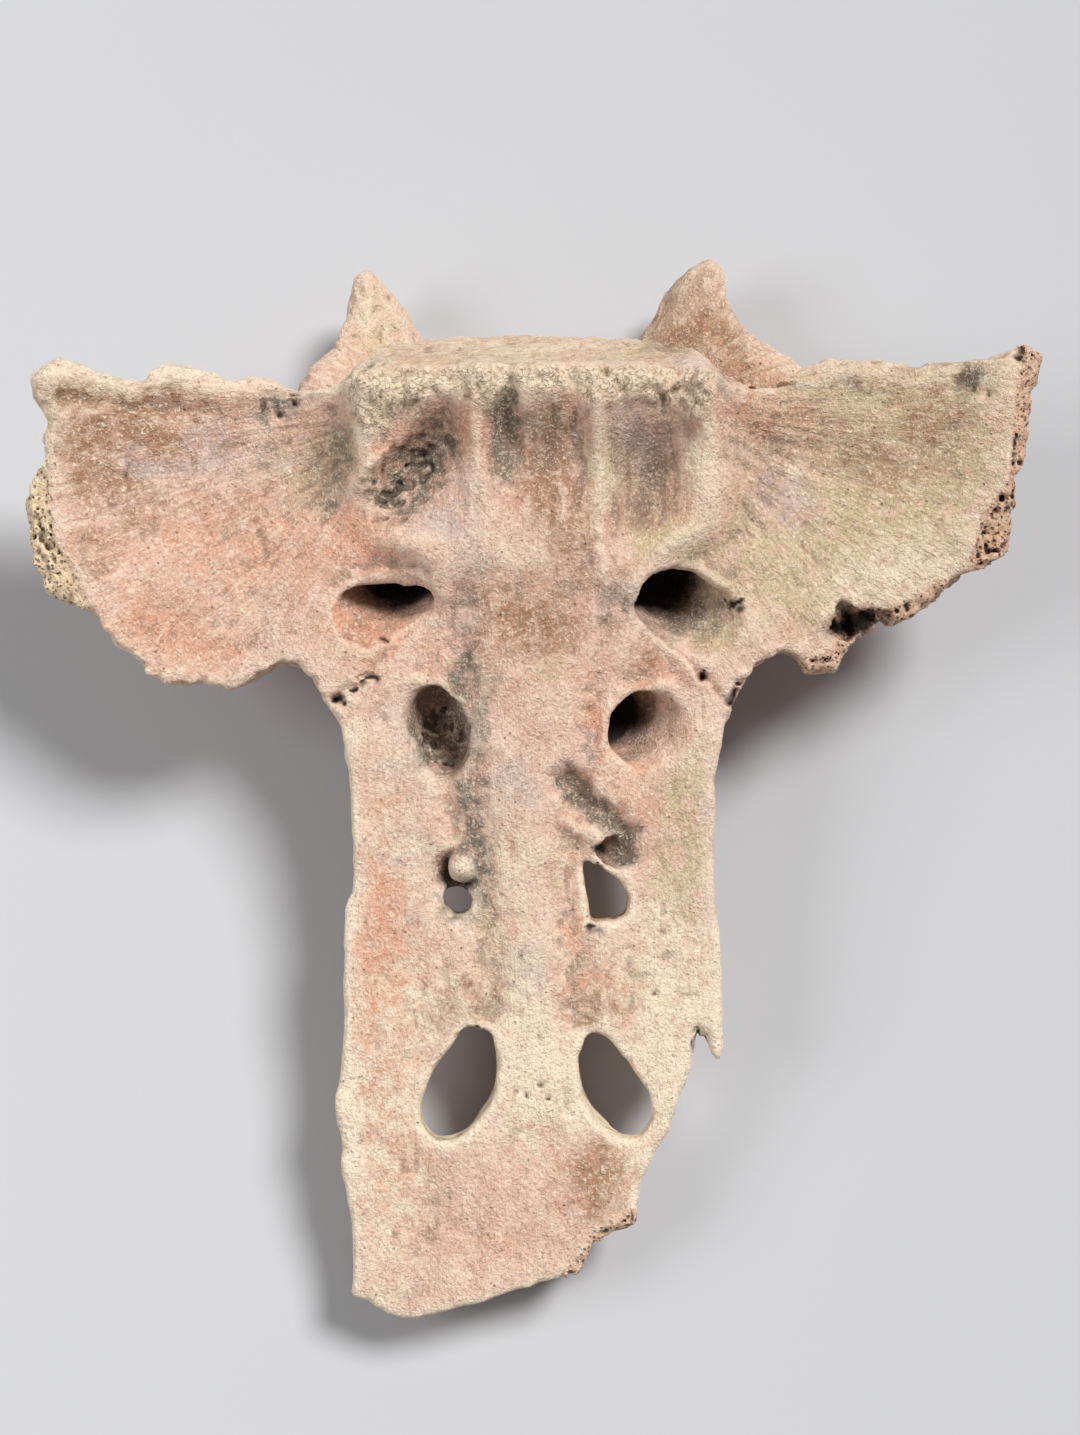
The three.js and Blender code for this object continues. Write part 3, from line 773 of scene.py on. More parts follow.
def pore_share(x, y, z):
    """How far a point is sunk into a pore: pores sit round seeds, and are larger in loose clusters."""
    size = mix(0.30, 0.52, ramp(lattice_noise(x, y, z, 5.0, 25), -0.35, 0.35))
    return size - nearest_seed(x, y, z, PORE, 17)


def sponge_cells(x, y, z):
    """Depth between thin walls: the size of a noise, which is zero on winding sheets, large between them."""
    return np.abs(lattice_noise(x, y, z, 2.3, 18)) + 0.5 * np.abs(lattice_noise(x, y, z, 1.5, 20))


tip_share = spongy_share(np.array([-120.0]), np.array([48.0]))
print("Spongy share at the left tip:", round(float(tip_share[0]), 2))


# %% Roughen the skin
BAND = 2.4

near_skin = np.argwhere(np.abs(solid) < BAND)
index = tuple(near_skin.T)
near_x, near_y, near_z = xs[index[0]], ys[index[1]], zs[index[2]]
field = solid[index]
spongy = spongy_share(near_x, near_y)
hollow = hollow_share(near_x, near_y, near_z)
rim = rim_share(near_x, near_y, near_z)
underside = 1 - ramp(near_z, -26, -14)
near_margin = ramp(edge[index[0], index[1]], -3.5, -0.5) * (1 - ramp(edge[index[0], index[1]], 0.8, 2.5))
near_margin *= 1 - ramp(near_y, 70, 76) * (1 - ramp(np.abs(near_x), 56, 66))


def near_noise(cell, seed):
    """The lattice noise at the points near the skin."""
    return lattice_noise(near_x, near_y, near_z, cell, seed)


field += 0.35 * near_noise(7.5, 11) + 0.24 * near_noise(2.4, 12)
field += underside * (0.7 * near_noise(9.0, 13) + 0.3 * near_noise(3.2, 14))
field += near_margin * (0.15 + 0.5 * ramp(near_y, -4, 10)) * near_noise(2.1, 19)
on_wing = wing_share(near_x, near_y)
out, turned = along_fan(near_x, near_y)
near_shoulder = 1 - ramp(out, 24, 46)
at_head = ramp(near_y, 38, 52)
field += (0.28 + 0.5 * near_shoulder) * on_wing * lattice_noise(0.13 * out, turned, 0.4 * near_z, 1.6, 22)
field += (0.16 + 0.28 * at_head) * (1 - on_wing) * lattice_noise(near_x, 0.2 * near_y, 0.4 * near_z, 1.6, 23)
fine_nubs = lattice_noise(near_x, 0.8 * near_y, 0.8 * near_z, 1.6, 15)
broad_nubs = lattice_noise(near_x, 0.6 * near_y, near_z, 3.2, 21)
field += rim * (fine_nubs + 0.5 * broad_nubs)
field += spongy * 0.8 * near_noise(2.2, 16)
here = spongy > 0.02
pores = pore_share(near_x[here], near_y[here], near_z[here]) * PORE
field[here] = np.maximum(field[here], pores - 3.0 * (1 - spongy[here]))
field += hollow * (1.8 * sponge_cells(near_x, near_y, near_z) - 0.5)
solid[index] = field
print("Points near the skin:", len(near_x))

# %% Rest it on the floor
WORN_EDGE = 0.8

ground = (floor_level(block_y) - block_z) * TILT_COS
worn = int(((solid < 0) & (ground > 0)).sum())
solid = soft_max(solid, ground, WORN_EDGE).astype(np.float32)
del ground
print("Worn off flat on the floor, cubic cm:", round(worn * STEP**3 / 1000, 2))

# %% [markdown]
# ## From field to skin
#
# A surface net puts one vertex in every little cube that the skin passes through, at the mean of the places
# where the field crosses zero on the cube's edges, and one face across every edge that is crossed. Cubes
# whose corners change sign like a chessboard would pinch the skin, so such corners are filled in first.
# What comes out is closed.


# %% Fill in chessboard corners
def cut(axis, part, axes=3):
    """Slices that leave out the last (part 0) or the first (part 1) layer along one axis."""
    parts = [slice(None)] * axes
    parts[axis] = slice(0, -1) if part == 0 else slice(1, None)
    return tuple(parts)


def fill_pinches(values, rounds=12):
    """Wherever two opposite corners of a square are bone and the other two are air, make all four bone."""
    for _ in range(rounds):
        inside = values < 0
        fill = np.zeros_like(inside)
        for u, v in ((0, 1), (0, 2), (1, 2)):
            a = inside[cut(u, 0)][cut(v, 0)]
            b = inside[cut(u, 1)][cut(v, 0)]
            c = inside[cut(u, 0)][cut(v, 1)]
            d = inside[cut(u, 1)][cut(v, 1)]
            pinch = (a == d) & (b == c) & (a != b)
            for s in (0, 1):
                for t in (0, 1):
                    fill[cut(u, s)][cut(v, t)] |= pinch
        fill &= ~inside
        if not fill.any():
            break
        values[fill] = -0.05
    return values


solid = fill_pinches(solid)
print("Bone volume, cubic cm:", round(float((solid < 0).sum()) * STEP**3 / 1000, 1))


# %% Surface net
def surface_net(values):
    """Vertices at the mean crossing in each mixed cube; a quad across each crossed edge, facing the air."""
    inside = values < 0
    corners = list(np.ndindex(2, 2, 2))
    shape = tuple(n - 1 for n in values.shape)
    count = np.zeros(shape, dtype=np.uint8)
    for i, j, k in corners:
        count += inside[i:i + shape[0], j:j + shape[1], k:k + shape[2]]
    mixed = np.argwhere((count > 0) & (count < 8))
    number = np.full(shape, -1, dtype=np.int32)
    number[tuple(mixed.T)] = np.arange(len(mixed))
    at = np.stack([values[tuple((mixed + c).T)] for c in corners], axis=1)
    total = np.zeros((len(mixed), 3))
    hits = np.zeros(len(mixed))
    for a, b in ((a, b) for a in range(8) for b in (a | 1, a | 2, a | 4) if b != a):
        crossed = (at[:, a] < 0) != (at[:, b] < 0)
        share = np.where(crossed, at[:, a] / np.where(crossed, at[:, a] - at[:, b], 1.0), 0.0)
        here = np.array(corners[a]) + share[:, None] * (np.array(corners[b]) - np.array(corners[a]))
        total += crossed[:, None] * here
        hits += crossed
    vertices = (mixed + total / hits[:, None]) * STEP + np.array([xs[0], ys[0], zs[0]])
    quads = []
    for axis in range(3):
        u, v = (axis + 1) % 3, (axis + 2) % 3
        place = np.argwhere(inside[cut(axis, 0)] != inside[cut(axis, 1)])
        ring = []
        for du, dv in ((1, 1), (0, 1), (0, 0), (1, 0)):
            cell = place.copy()
            cell[:, u] -= du
            cell[:, v] -= dv
            ring.append(number[tuple(cell.T)])
        quad = np.stack(ring, axis=1)
        leaving = inside[tuple(place.T)]
        quads.append(np.where(leaving[:, None], quad, quad[:, ::-1]))
    return vertices, np.concatenate(quads)


def largest_part(vertices, faces):
    """Keep the biggest part: labels spread over shared edges until each face has its part's lowest number."""
    corners = faces.shape[1]
    sides = np.sort(np.concatenate([faces[:, [i, i - 1]] for i in range(corners)]), axis=1)
    order = np.lexsort(sides.T)
    owner = np.tile(np.arange(len(faces)), corners)[order]
    shared = (sides[order][1:] == sides[order][:-1]).all(axis=1)
    pairs = np.stack([owner[:-1][shared], owner[1:][shared]], axis=1)
    label = np.arange(len(faces))
    changed = True
    while changed:
        low = np.minimum(label[pairs[:, 0]], label[pairs[:, 1]])
        new = label.copy()
        np.minimum.at(new, pairs[:, 0], low)
        np.minimum.at(new, pairs[:, 1], low)
        new = new[new]
        new = new[new]
        changed = bool((new != label).any())
        label = new
    kept_faces = faces[label == np.bincount(label).argmax()]
    kept, renumbered = np.unique(kept_faces, return_inverse=True)
    return vertices[kept], renumbered.reshape(-1, corners)


vertices, quads = surface_net(solid)
vertices, quads = largest_part(vertices, quads)
del solid
print("Skin:", len(vertices), "vertices,", len(quads), "quads")

# %% [markdown]
# ## The mesh
#
# The net has more faces than the flat parts need, so Decimate merges the least useful ones. The skin then
# has under 200,000 triangles, and keeps the most where the bone is rough. Crumbs that come loose as it
# merges are dropped.

# %% Make the bone
FACE_LIMIT = 192000


def split_quads(vertices, quads):
    """Two triangles from each quad, cut along its shorter diagonal."""
    a, b, c, d = (vertices[quads[:, i]] for i in range(4))
    first = np.linalg.norm(a - c, axis=1) <= np.linalg.norm(b - d, axis=1)
    one = np.where(first[:, None], quads[:, [0, 1, 2]], quads[:, [0, 1, 3]])
    two = np.where(first[:, None], quads[:, [0, 2, 3]], quads[:, [1, 2, 3]])
    return np.concatenate([one, two])


def new_mesh(name, points, faces):
    """A mesh from an array of points and an array of triangles, smooth shaded."""
    mesh = bpy.data.meshes.new(name)
    mesh.vertices.add(len(points))
    mesh.vertices.foreach_set("co", points.astype(np.float32).ravel())
    mesh.loops.add(faces.size)
    mesh.loops.foreach_set("vertex_index", faces.astype(np.int32).ravel())
    mesh.polygons.add(len(faces))
    mesh.polygons.foreach_set("loop_start", np.arange(0, faces.size, 3, dtype=np.int32))
    mesh.polygons.foreach_set("use_smooth", np.ones(len(faces), dtype=bool))
    mesh.update(calc_edges=True)
    mesh.validate()
    return mesh


triangles = split_quads(vertices, quads)
fine_mesh = new_mesh("fine_skin", to_room(*vertices.T), triangles)
fine = bpy.data.objects.new("fine_skin", fine_mesh)
bpy.context.scene.collection.objects.link(fine)
thin_out = fine.modifiers.new("thin out", "DECIMATE")
thin_out.ratio = min(1.0, FACE_LIMIT / len(triangles))
thin_mesh = bpy.data.meshes.new_from_object(fine.evaluated_get(bpy.context.evaluated_depsgraph_get()))
skin = np.empty(3 * len(thin_mesh.vertices), dtype=np.float32)
thin_mesh.vertices.foreach_get("co", skin)
corners = np.empty(len(thin_mesh.loops), dtype=np.int32)
thin_mesh.loops.foreach_get("vertex_index", corners)
bpy.data.objects.remove(fine)
bpy.data.meshes.remove(fine_mesh)
bpy.data.meshes.remove(thin_mesh)

skin, faces = largest_part(skin.reshape(-1, 3), corners.reshape(-1, 3))
skin[:, 2] = np.maximum(skin[:, 2], 0.0)
bone_mesh = new_mesh("bone", skin, faces)
bone = bpy.data.objects.new("bone", bone_mesh)
bpy.context.scene.collection.objects.link(bone)
print("Bone:", len(bone_mesh.vertices), "vertices,", len(bone_mesh.polygons), "faces")

# %% [markdown]
# ## Stains
#
# The colour of the fossil comes mostly from the ground it lay in: salmon along the left, olive over the right
# wing, brown on the upper left wing, cream on edges, partly wear and partly painted highlight, grey-green in
# grooves, partly a stain and partly painted shade, and lilac clouds. Each
# stain is a set of bells, kept on the mesh as an attribute, which the material then breaks up
# with noise. Painting it by hand would give the same, but a formula can be read, changed and repeated.

# %% Stains over the pelvic face
# Each row: x, y, half length, half width, turn in degrees, strength
STAINS = {
    "salmon": (
        (-37, -62, 44, 8, 90, 0.85), (-42, 20, 13, 9, 20, 0.95), (-36, 42, 15, 7, 0, 0.75),
        (-15, 66, 12, 4, 90, 0.7), (-33, 62, 10, 3, 42, 0.8), (41, 74, 9, 6, 90, 0.8),
        (52, 72, 9, 6, 0, 0.6), (18, -8, 18, 5, 105, 0.85), (9, -42, 16, 4, 90, 0.8),
        (-97, 20, 14, 8, -35, 0.95), (-70, 36, 26, 14, 10, 0.45), (27, 60, 11, 5, 100, 0.2),
        (14, -65, 11, 9, 0, 0.95), (15, -108, 14, 11, -50, 0.8), (40, -30, 18, 3, 90, 0.6),
        (-34, -100, 30, 8, 87, 0.55), (45, 97, 15, 6, 105, 1.0), (54, 85, 9, 6, 130, 0.8),
        (-45, 84, 9, 6, 60, 0.25), (-82, 14, 14, 7, 10, 0.6), (42, 62, 7, 5, 90, 0.5),
        (-110, 36, 8, 5, 60, 0.7), (-35, -42, 14, 7, 80, 0.5), (-90, 46, 12, 9, 30, 0.4),
        (26, 8, 9, 5, 40, 0.7), (8, 20, 16, 6, 90, 0.3), (-6, -50, 18, 6, 90, 0.4),
        (106, 40, 8, 4, 40, 0.7), (112, 62, 22, 3, 88, 0.7),
    ),
    "brown": (
        (-102, 68, 18, 13, 30, 0.85), (-97, 50, 12, 9, 60, 0.5), (-84, 70, 16, 6, 0, 0.35),
        (-75, 50, 18, 11, 0, 0.35), (2, 61, 15, 6.5, 90, 1.0), (92, 68, 13, 10, 40, 0.62),
        (72, 61, 18, 9, -10, 0.45), (32, 54, 10, 7, 60, 0.15), (-20, -68, 12, 5, 20, 0.85),
        (14.5, -67, 12, 6, 30, 0.7), (24, 14, 8, 6, 40, 0.6), (15, -108, 13, 10, -50, 0.95),
        (-106, 34, 9, 6, 60, 0.5), (-115, 76, 9, 9, 0, 0.4), (-2, 22, 15, 10, 0, 0.72),
        (58, 70, 10, 6, 0, 0.4), (-42, 19, 10, 6, 25, 0.45), (33, 99, 13, 8, 60, 1.0),
        (42, 104, 12, 7, 90, 0.9), (42, 94, 8, 5, 110, 0.5), (48, 97, 14, 5, 108, 0.7),
        (2, 46, 14, 12, 0, 0.35), (95, 82, 14, 4, 5, 0.7), (82, 82, 12, 4, 5, 0.5),
        (-96, 18, 14, 7, -35, 0.3), (-113, 80, 9, 5, 0, 0.45), (12, 42, 10, 8, 80, 0.35),
        (-30, 66, 10, 6, 30, 0.35), (46, 14, 6, 4, 0, 0.5),
    ),
    "olive": (
        (0, 88, 46, 9, 0, 0.55), (-40, 98, 8, 16, 0, 0.6), (90, 81, 28, 8, 4, 0.95),
        (-96, 80, 26, 6, 0, 0.85), (-117, 68, 14, 4, 88, 0.7), (86, 54, 38, 34, 0, 0.85),
        (60, 34, 20, 15, 0, 0.7), (36, -14, 9, 13, 0, 0.8), (33, -38, 10, 13, 0, 0.8),
        (14, 58, 5, 12, 0, 0.6), (24, 58, 9, 10, 0, 0.5), (31, 42, 11, 7, 0, 0.7),
        (-50, 58, 10, 15, 70, 0.6), (38, 22, 12, 8, -20, 0.7), (33, 96, 7, 11, -30, 0.8),
        (-13, -45, 5, 12, 0, 0.5), (5, 8, 8, 16, 0, 0.4), (-42, 76, 5, 9, 0, 0.5), (-30, 76, 14, 5, 0, 0.5),
        (4, -36, 4, 10, 0, 0.4), (-62, 60, 9, 12, 50, 0.35),
    ),
    "lilac": (
        (-79, 62, 11, 7, 10, 0.8), (-22, 46, 11, 5, 0, 0.8), (-3, -62, 7, 13, 0, 0.7),
        (-6, -16, 9, 7, 0, 0.8), (-31, -32, 10, 7, 0, 0.6), (24, 60, 12, 8, 60, 0.5),
        (21, 67, 8, 6, 0, 0.8), (58, 54, 9, 13, 20, 0.7), (-3, -38, 7, 7, 0, 0.4),
        (41, -34, 22, 2.6, 90, 0.8), (-60, 62, 9, 9, 0, 0.4), (-94, 60, 6, 4, 0, 0.7),
        (-34, 0, 8, 8, 0, 0.5), (-18, 56, 8, 6, 60, 0.6), (36, 84, 8, 3, 0, 0.6),
    ),
    # Cream: the long thin rows down the left side are partly painted highlight on its lit edge.
    "cream": (
        (-4, 88, 40, 8, 0, 0.5), (-112, 82, 9, 4, -10, 0.6), (-100, 80, 9, 3, 8, 0.4),
        (-86, 81, 12, 4.5, 0, 0.6), (-73, 79, 7, 3, -10, 0.4), (-118, 70, 14, 3, 88, 0.4),
        (0, -84, 9, 12, 0, 0.95), (30, -60, 13, 18, 0, 0.8), (33, -78, 9, 13, 0, 0.95),
        (-46, -70, 60, 2.4, 90, 0.95), (-6, 36, 10, 6, 0, 0.35), (-46, -20, 26, 2.2, 92, 0.8),
        (-38, -90, 18, 9, 90, 0.5), (-30, -62, 12, 12, 0, 0.4), (-4, -30, 12, 8, 0, 0.4),
        (-30, -30, 10, 10, 0, 0.35), (80, 34, 24, 8, 12, 0.6), (40, 60, 6, 10, 0, 0.75),
        (-41, 70, 5, 12, 0, 0.85), (24, -98, 7, 12, 0, 0.5), (61, 60, 4, 2, 60, 0.5),
        (13.8, 52, 20, 2.4, 90, 0.45), (-15, 60, 12, 2.6, 92, 0.4), (-38, 98, 7, 15, 0, 0.2),
        (-4, -70, 8, 26, 0, 0.5), (-36, -112, 12, 30, 0, 0.5), (14, -124, 9, 4, 30, 0.4),
        (0, -70, 50, 60, 0, 0.3), (-70, 30, 22, 9, 0, 0.3), (-36, -16, 8, 20, 0, 0.3),
    ),
    # Grey-green: a stain, and in the grooves and hollows also painted shade.
    "grey_green": (
        (-7.4, 67.5, 10, 3.6, 90, 1.0), (-28, 58, 13, 7, 48, 0.75), (-48, 56, 11, 5, 75, 0.5),
        (-18, 14, 12, 3, 92, 0.75), (-14, 32, 14, 3.5, 95, 0.4), (-13.5, 2, 14, 3, 90, 0.35),
        (-11, -40, 18, 3, 88, 0.35), (-16.5, -24, 11, 3, 85, 0.7), (-12.5, -34, 9, 3, 80, 0.6),
        (12.6, -21, 9.5, 2.6, -42, 0.95), (19, -29.5, 5, 2.4, 75, 0.85), (26, 58, 11, 6, 70, 0.45),
        (-62, 74, 9, 4, 5, 0.8), (44, 76, 7, 3.5, 110, 0.6), (-24, -4, 8, 10, 0, 0.95),
        (-23.4, -38.5, 7, 2.4, 100, 0.75), (-15, -40, 9, 3, 90, 0.5), (33, 25, 11, 8, -20, 0.95),
        (100, 79, 5, 4, 0, 0.9), (75, 79, 7, 3, 0, 0.45), (17, 24, 4, 8, 0, 0.4), (26, 50, 8, 5, 60, 0.4),
        (62, 79, 7, 3, 20, 0.5), (0, 70, 4, 8, 0, 0.45), (-10, 52, 6, 5, 0, 0.3), (-5, -14, 6, 4, 0, 0.25),
        (-32, 104, 6, 10, 0, 0.25), (30, 92, 6, 4, 0, 0.5), (-20, 86, 16, 3, 0, 0.2),
        (-43, 80, 6, 2, 50, 0.6),
    ),
}
# Each row: x, y, half length, half width, turn in degrees, strength
# Dark spots: dirt, and painted shadow on the shaded walls of pits and openings.
DIRT_AND_SHADE = (
    (-7.2, 67, 8, 2.0, 90, 0.12), (14.6, -31, 2.8, 1.9, -35, 0.8), (74.5, 22.4, 7.5, 3.2, 12, 0.9),
    (-19.5, -13.5, 4, 2, 60, 0.3), (13.5, -49.5, 3, 1.4, 0, 0.5), (-17, -73.5, 3, 1, 0, 0.6),
    (37.5, -76.6, 2.4, 1.4, 50, 0.7), (45, 5, 3.5, 1.6, 60, 0.6), (-47, 4.4, 2, 1.4, 40, 0.6),
    (-62, 73, 5, 2, 10, 0.12), (113, 85.2, 2, 1.6, 0, 0.6), (100.6, 79.4, 2.6, 2.2, 0, 0.2),
    (-22.8, -44.5, 2.6, 1.5, 60, 0.45), (-19.5, -47.2, 3.2, 1.2, 0, 0.5),
)
# Each row: points of a crumbled, soil-filled crack
CRACKS = (
    ((-49, 3), (-46.8, 4.8), (-43.4, 6.4), (-40.2, 9.2), (-38, 8.6)),
    ((43.6, 2.4), (45.2, 4.8), (46.4, 8), (47.8, 9.6)),
    ((38.2, 8.8), (38.8, 11)),
    ((36.2, -76), (37.2, -72.4)),
    ((-18.6, -73.4), (-14.6, -72.6)),
    ((11.6, -48.8), (15.4, -49.4)),
    ((44.2, 27.8), (47.6, 24.8)),
    ((44.8, 25.4), (47, 27.8)),
)
KNOB_PIT = (-19.2, -36.2, 6.2)
KNOB = (-18.2, -35.2, 1.9)
# Each row: half width in millimetres, strength, points of a grey-green run in a groove or hollow, partly
# where damp soil stood and partly painted shade
DAMP_AND_SHADE_RUNS = (
    (3.4, 1.0, ((-7.6, 74), (-8.4, 66), (-8.8, 58))), (5.0, 0.75, ((-36, 52), (-30, 57), (-23, 63))),
    (4.0, 0.5, ((-46, 66), (-48, 58), (-50, 50))),
    (3.6, 1.0, ((7, -15.5), (11, -19.5), (15.5, -23.5), (19, -27.5), (20.5, -32))),
    (3.2, 0.75, ((-18, -16), (-16, -24), (-14, -31), (-15, -36), (-14.6, -41), (-16, -47))),
)


def stain_share(x, y, rows):
    """Bells laid over each other: what one leaves bare, the next covers by its own share."""
    bare = np.ones_like(x)
    for row in rows:
        bare = bare * (1 - row[5] * bell(x, y, row))
    return 1 - bare


# %% Lay the stains on the skin
skin_x, skin_y, skin_z = from_room(skin)
face_level = front_height(skin_x, skin_y) + np.minimum(face_relief(skin_x, skin_y), 1.0)
below_face = face_level - skin_z
on_face = np.maximum(1 - ramp(below_face, 10.0, 18.0), ramp(skin_y, 74.0, 79.0))
loose_x, loose_y = wander(skin_x, skin_y, 3.2, 9.0, 62)
loose_x, loose_y = wander(loose_x, loose_y, 1.6, 3.0, 63)
masks = {name: stain_share(loose_x, loose_y, rows) * on_face for name, rows in STAINS.items()}
print("Mean of each stain:", {name: round(float(mask.mean()), 3) for name, mask in masks.items()})

# %% [markdown]
# The back can't be seen in the picture, so it gets the same stains from broad noise. Margins and the
# lips of the openings that go through are cream, partly as wear and partly as painted highlight on the lit
# edges. The margin is found from the outline, and is weaker where the edge is broken or turned away.

# %% Clouds on the back and cream margins
BACK_STAINS = ("salmon", "brown", "olive", "lilac", "grey_green")
BACK_STRENGTH = 0.55
# Each row: an opening that goes through, how cream its lip is
CREAM_LIPS = ((LEFT_THIRD, 0.5), (RIGHT_THIRD, 0.5), (LEFT_FOURTH, 0.6), (RIGHT_FOURTH, 0.6))
MARGIN_STRENGTH = 0.85

edge_skin = outline_distance(skin_x, skin_y, bone_outline)
behind = 1 - on_face
for number, name in enumerate(BACK_STAINS):
    cloud = lattice_noise(skin_x, skin_y, skin_z, 34.0, 30 + number)
    cloud = cloud + 0.5 * lattice_noise(skin_x, skin_y, skin_z, 13.0, 40 + number)
    masks[name] = masks[name] + behind * BACK_STRENGTH * ramp(cloud, -0.1, 0.9)
# Cream margins and lips: partly wear, partly painted highlight on the lit edges.
margin = ramp(edge_skin, -2.4, -0.6) * (1 - ramp(edge_skin, 1.0, 2.5))
margin *= 1 - 0.7 * ramp(skin_y, -20, 10) * (1 - ramp(skin_y, 30, 60))
margin *= 1 - 0.7 * ramp(skin_x, 20, 30) * ramp(skin_y, -56, -44)
margin *= 1 - 0.8 * ramp(np.abs(skin_x), 50, 60) * ramp(skin_y, 50, 60)
for mouth, share in CREAM_LIPS:
    lip = outline_distance(skin_x, skin_y, curve_through(mouth))
    margin = np.maximum(margin, share * (1 - ramp(np.abs(lip), 0.6, 2.2)))
masks["cream"] = np.clip(masks["cream"] + MARGIN_STRENGTH * margin, 0.0, 1.0)
print("Share of the skin that is a worn margin:", round(float(margin.mean()), 3))

# %% [markdown]
# ## Soil and painted shade
#
# Dark soil stayed where it was hard to wash out, in cracks. Deep in the tunnels the dark is painted shade,
# in the spongy hollow it is partly soil and partly painted shade, the pores of the broken ends are made dark,
# and pits are darker the deeper they are. Each of these is a share from 0 to 1, and the largest one counts.
# The same functions that cut the shapes give the shares, so that colour and shape stay together.

# %% Painted shade in tunnels, dark pores and pits
DEEPEST_PIT = 0.7

# Painted shade: the tunnel walls go black with depth below the face.
shade_in_tunnel = np.zeros(len(skin))
for row in TUNNELS:
    near = tunnel_distance(skin_x, skin_y, skin_z, row)
    wall = (1 - ramp(np.abs(near), 0.8, 2.2)) * ramp(below_face, 0.3 * row[7], row[7])
    shade_in_tunnel = np.maximum(shade_in_tunnel, wall)
spongy_skin = spongy_share(skin_x, skin_y)
hollow_skin = hollow_share(skin_x, skin_y, skin_z)
# Partly painted light: pores on the left end are kept lighter, against the shade that end lies in.
pore_darkness = mix(0.5, 0.68, ramp(skin_x, -20, 20))
in_pore = pore_darkness * spongy_skin * ramp(pore_share(skin_x, skin_y, skin_z), -0.08, 0.2)
# Partly soil, partly painted shade: the spongy hollow is darkened, most between its thin walls.
shade_in_hollow = (0.10 + 0.36 * ramp(sponge_cells(skin_x, skin_y, skin_z), 0.25, 0.8)) * hollow_skin
pit_x, pit_y = wander(skin_x, skin_y, 0.8, 2.2, 61)
in_pit = np.zeros(len(skin))
for x0, y0, radius, depth in PITS:
    spot = ramp(bell(pit_x, pit_y, (x0, y0, radius, radius, 0)), 0.25, 0.9)
    fill = min(DEEPEST_PIT, depth / (1.2 + radius)) * min(1.0, 1.6 / radius)
    in_pit = np.maximum(in_pit, fill * spot)
print("Mean soil in tunnels, pores, pits:", [round(float(m.mean()), 4) for m in (shade_in_tunnel, in_pore, in_pit)])

# %% [markdown]
# Cracks are filled by crumbs, so their lines are broken by noise. The knob has a pale top, and the pit round
# it is darkened with depth as painted shade. Grey-green runs lie in the grooves and hollows, partly left by
# damp soil and partly painted shade, each a stroke that fades to both sides.

# %% Cracks, the knob with its shaded pit, and grey-green runs
crumbs = ramp(lattice_noise(skin_x, skin_y, skin_z, 1.3, 65), -0.25, 0.35)
in_crack = np.zeros(len(skin))
for points in CRACKS:
    in_crack = np.maximum(in_crack, hump(stroke_distance(pit_x, pit_y, points), 0, 0.9) * crumbs)
ring_x, ring_y = wander(skin_x, skin_y, 0.8, 3.0, 64)
from_pit = np.hypot(ring_x - KNOB_PIT[0], ring_y - KNOB_PIT[1])
near_knob = 1 - ramp(from_pit, KNOB_PIT[2] - 1.2, KNOB_PIT[2] + 0.6)
on_knob = 1 - ramp(np.hypot(skin_x - KNOB[0], skin_y - KNOB[1]), KNOB[2] - 0.6, KNOB[2] + 0.5)
# Painted shade: the pit round the knob darkens with depth below the face.
knob_pit_shade = 0.62 * near_knob * ramp(below_face, 0.8, 3.2) * (1 - on_knob)
# Grey-green runs: partly damp soil, partly painted shade in the grooves and hollows.
for half_width, strength, points in DAMP_AND_SHADE_RUNS:
    run = 1 - ramp(stroke_distance(ring_x, ring_y, points), 0.1 * half_width, 1.5 * half_width)
    masks["grey_green"] = np.maximum(masks["grey_green"], strength * run * on_face)
masks["grey_green"] *= 1 - 0.8 * on_knob
masks["cream"] = np.maximum(masks["cream"], 0.6 * on_knob * on_face)
dirt_and_shade = np.maximum.reduce([stain_share(pit_x, pit_y, DIRT_AND_SHADE), knob_pit_shade, in_pit, 0.8 * in_crack]) * on_face
masks["soil_and_shade"] = np.clip(np.maximum.reduce([shade_in_tunnel, in_pore, shade_in_hollow, dirt_and_shade]), 0.0, 1.0)
masks["spongy"] = np.clip(spongy_skin, 0.0, 1.0)
masks["rim"] = rim_share(skin_x, skin_y, skin_z)
masks["wing"] = wing_share(skin_x, skin_y)
print("Mean share of soil on the skin:", round(float(masks["soil_and_shade"].mean()), 3))

# %% [markdown]
# ## Fibres, crevices and dips
#
# Bone has a grain. On the column it runs from head to tail, and on the wings it fans out from the
# shoulders, so two attributes give places that are squeezed along the grain. Low places are darkened, as
# settled dust and as painted shade, and high ones are lightened, as rubbing and as painted highlight. How far
# the skin lies below an ironed copy of itself tells both: a little ironing finds crevices, a lot finds dips.

# %% Run of the fibres
ALONG_GRAIN = 0.16

out, turned = along_fan(skin_x, skin_y)
fan = np.stack([out * ALONG_GRAIN, turned, skin_z], axis=1)
column = np.stack([skin_x, skin_y * ALONG_GRAIN, skin_z], axis=1)
print("Fan reaches out to, mm:", round(float(out.max()), 1))


# %% Crevices and dips
def relaxed(points, pairs, rounds):
    """Each round moves every point half-way to the mean of its neighbours: small forms go first."""
    count = np.bincount(pairs[:, 0], minlength=len(points))
    for _ in range(rounds):
        means = [np.bincount(pairs[:, 0], points[pairs[:, 1], i], len(points)) / count for i in range(3)]
        points = 0.5 * points + 0.5 * np.stack(means, axis=1)
    return points


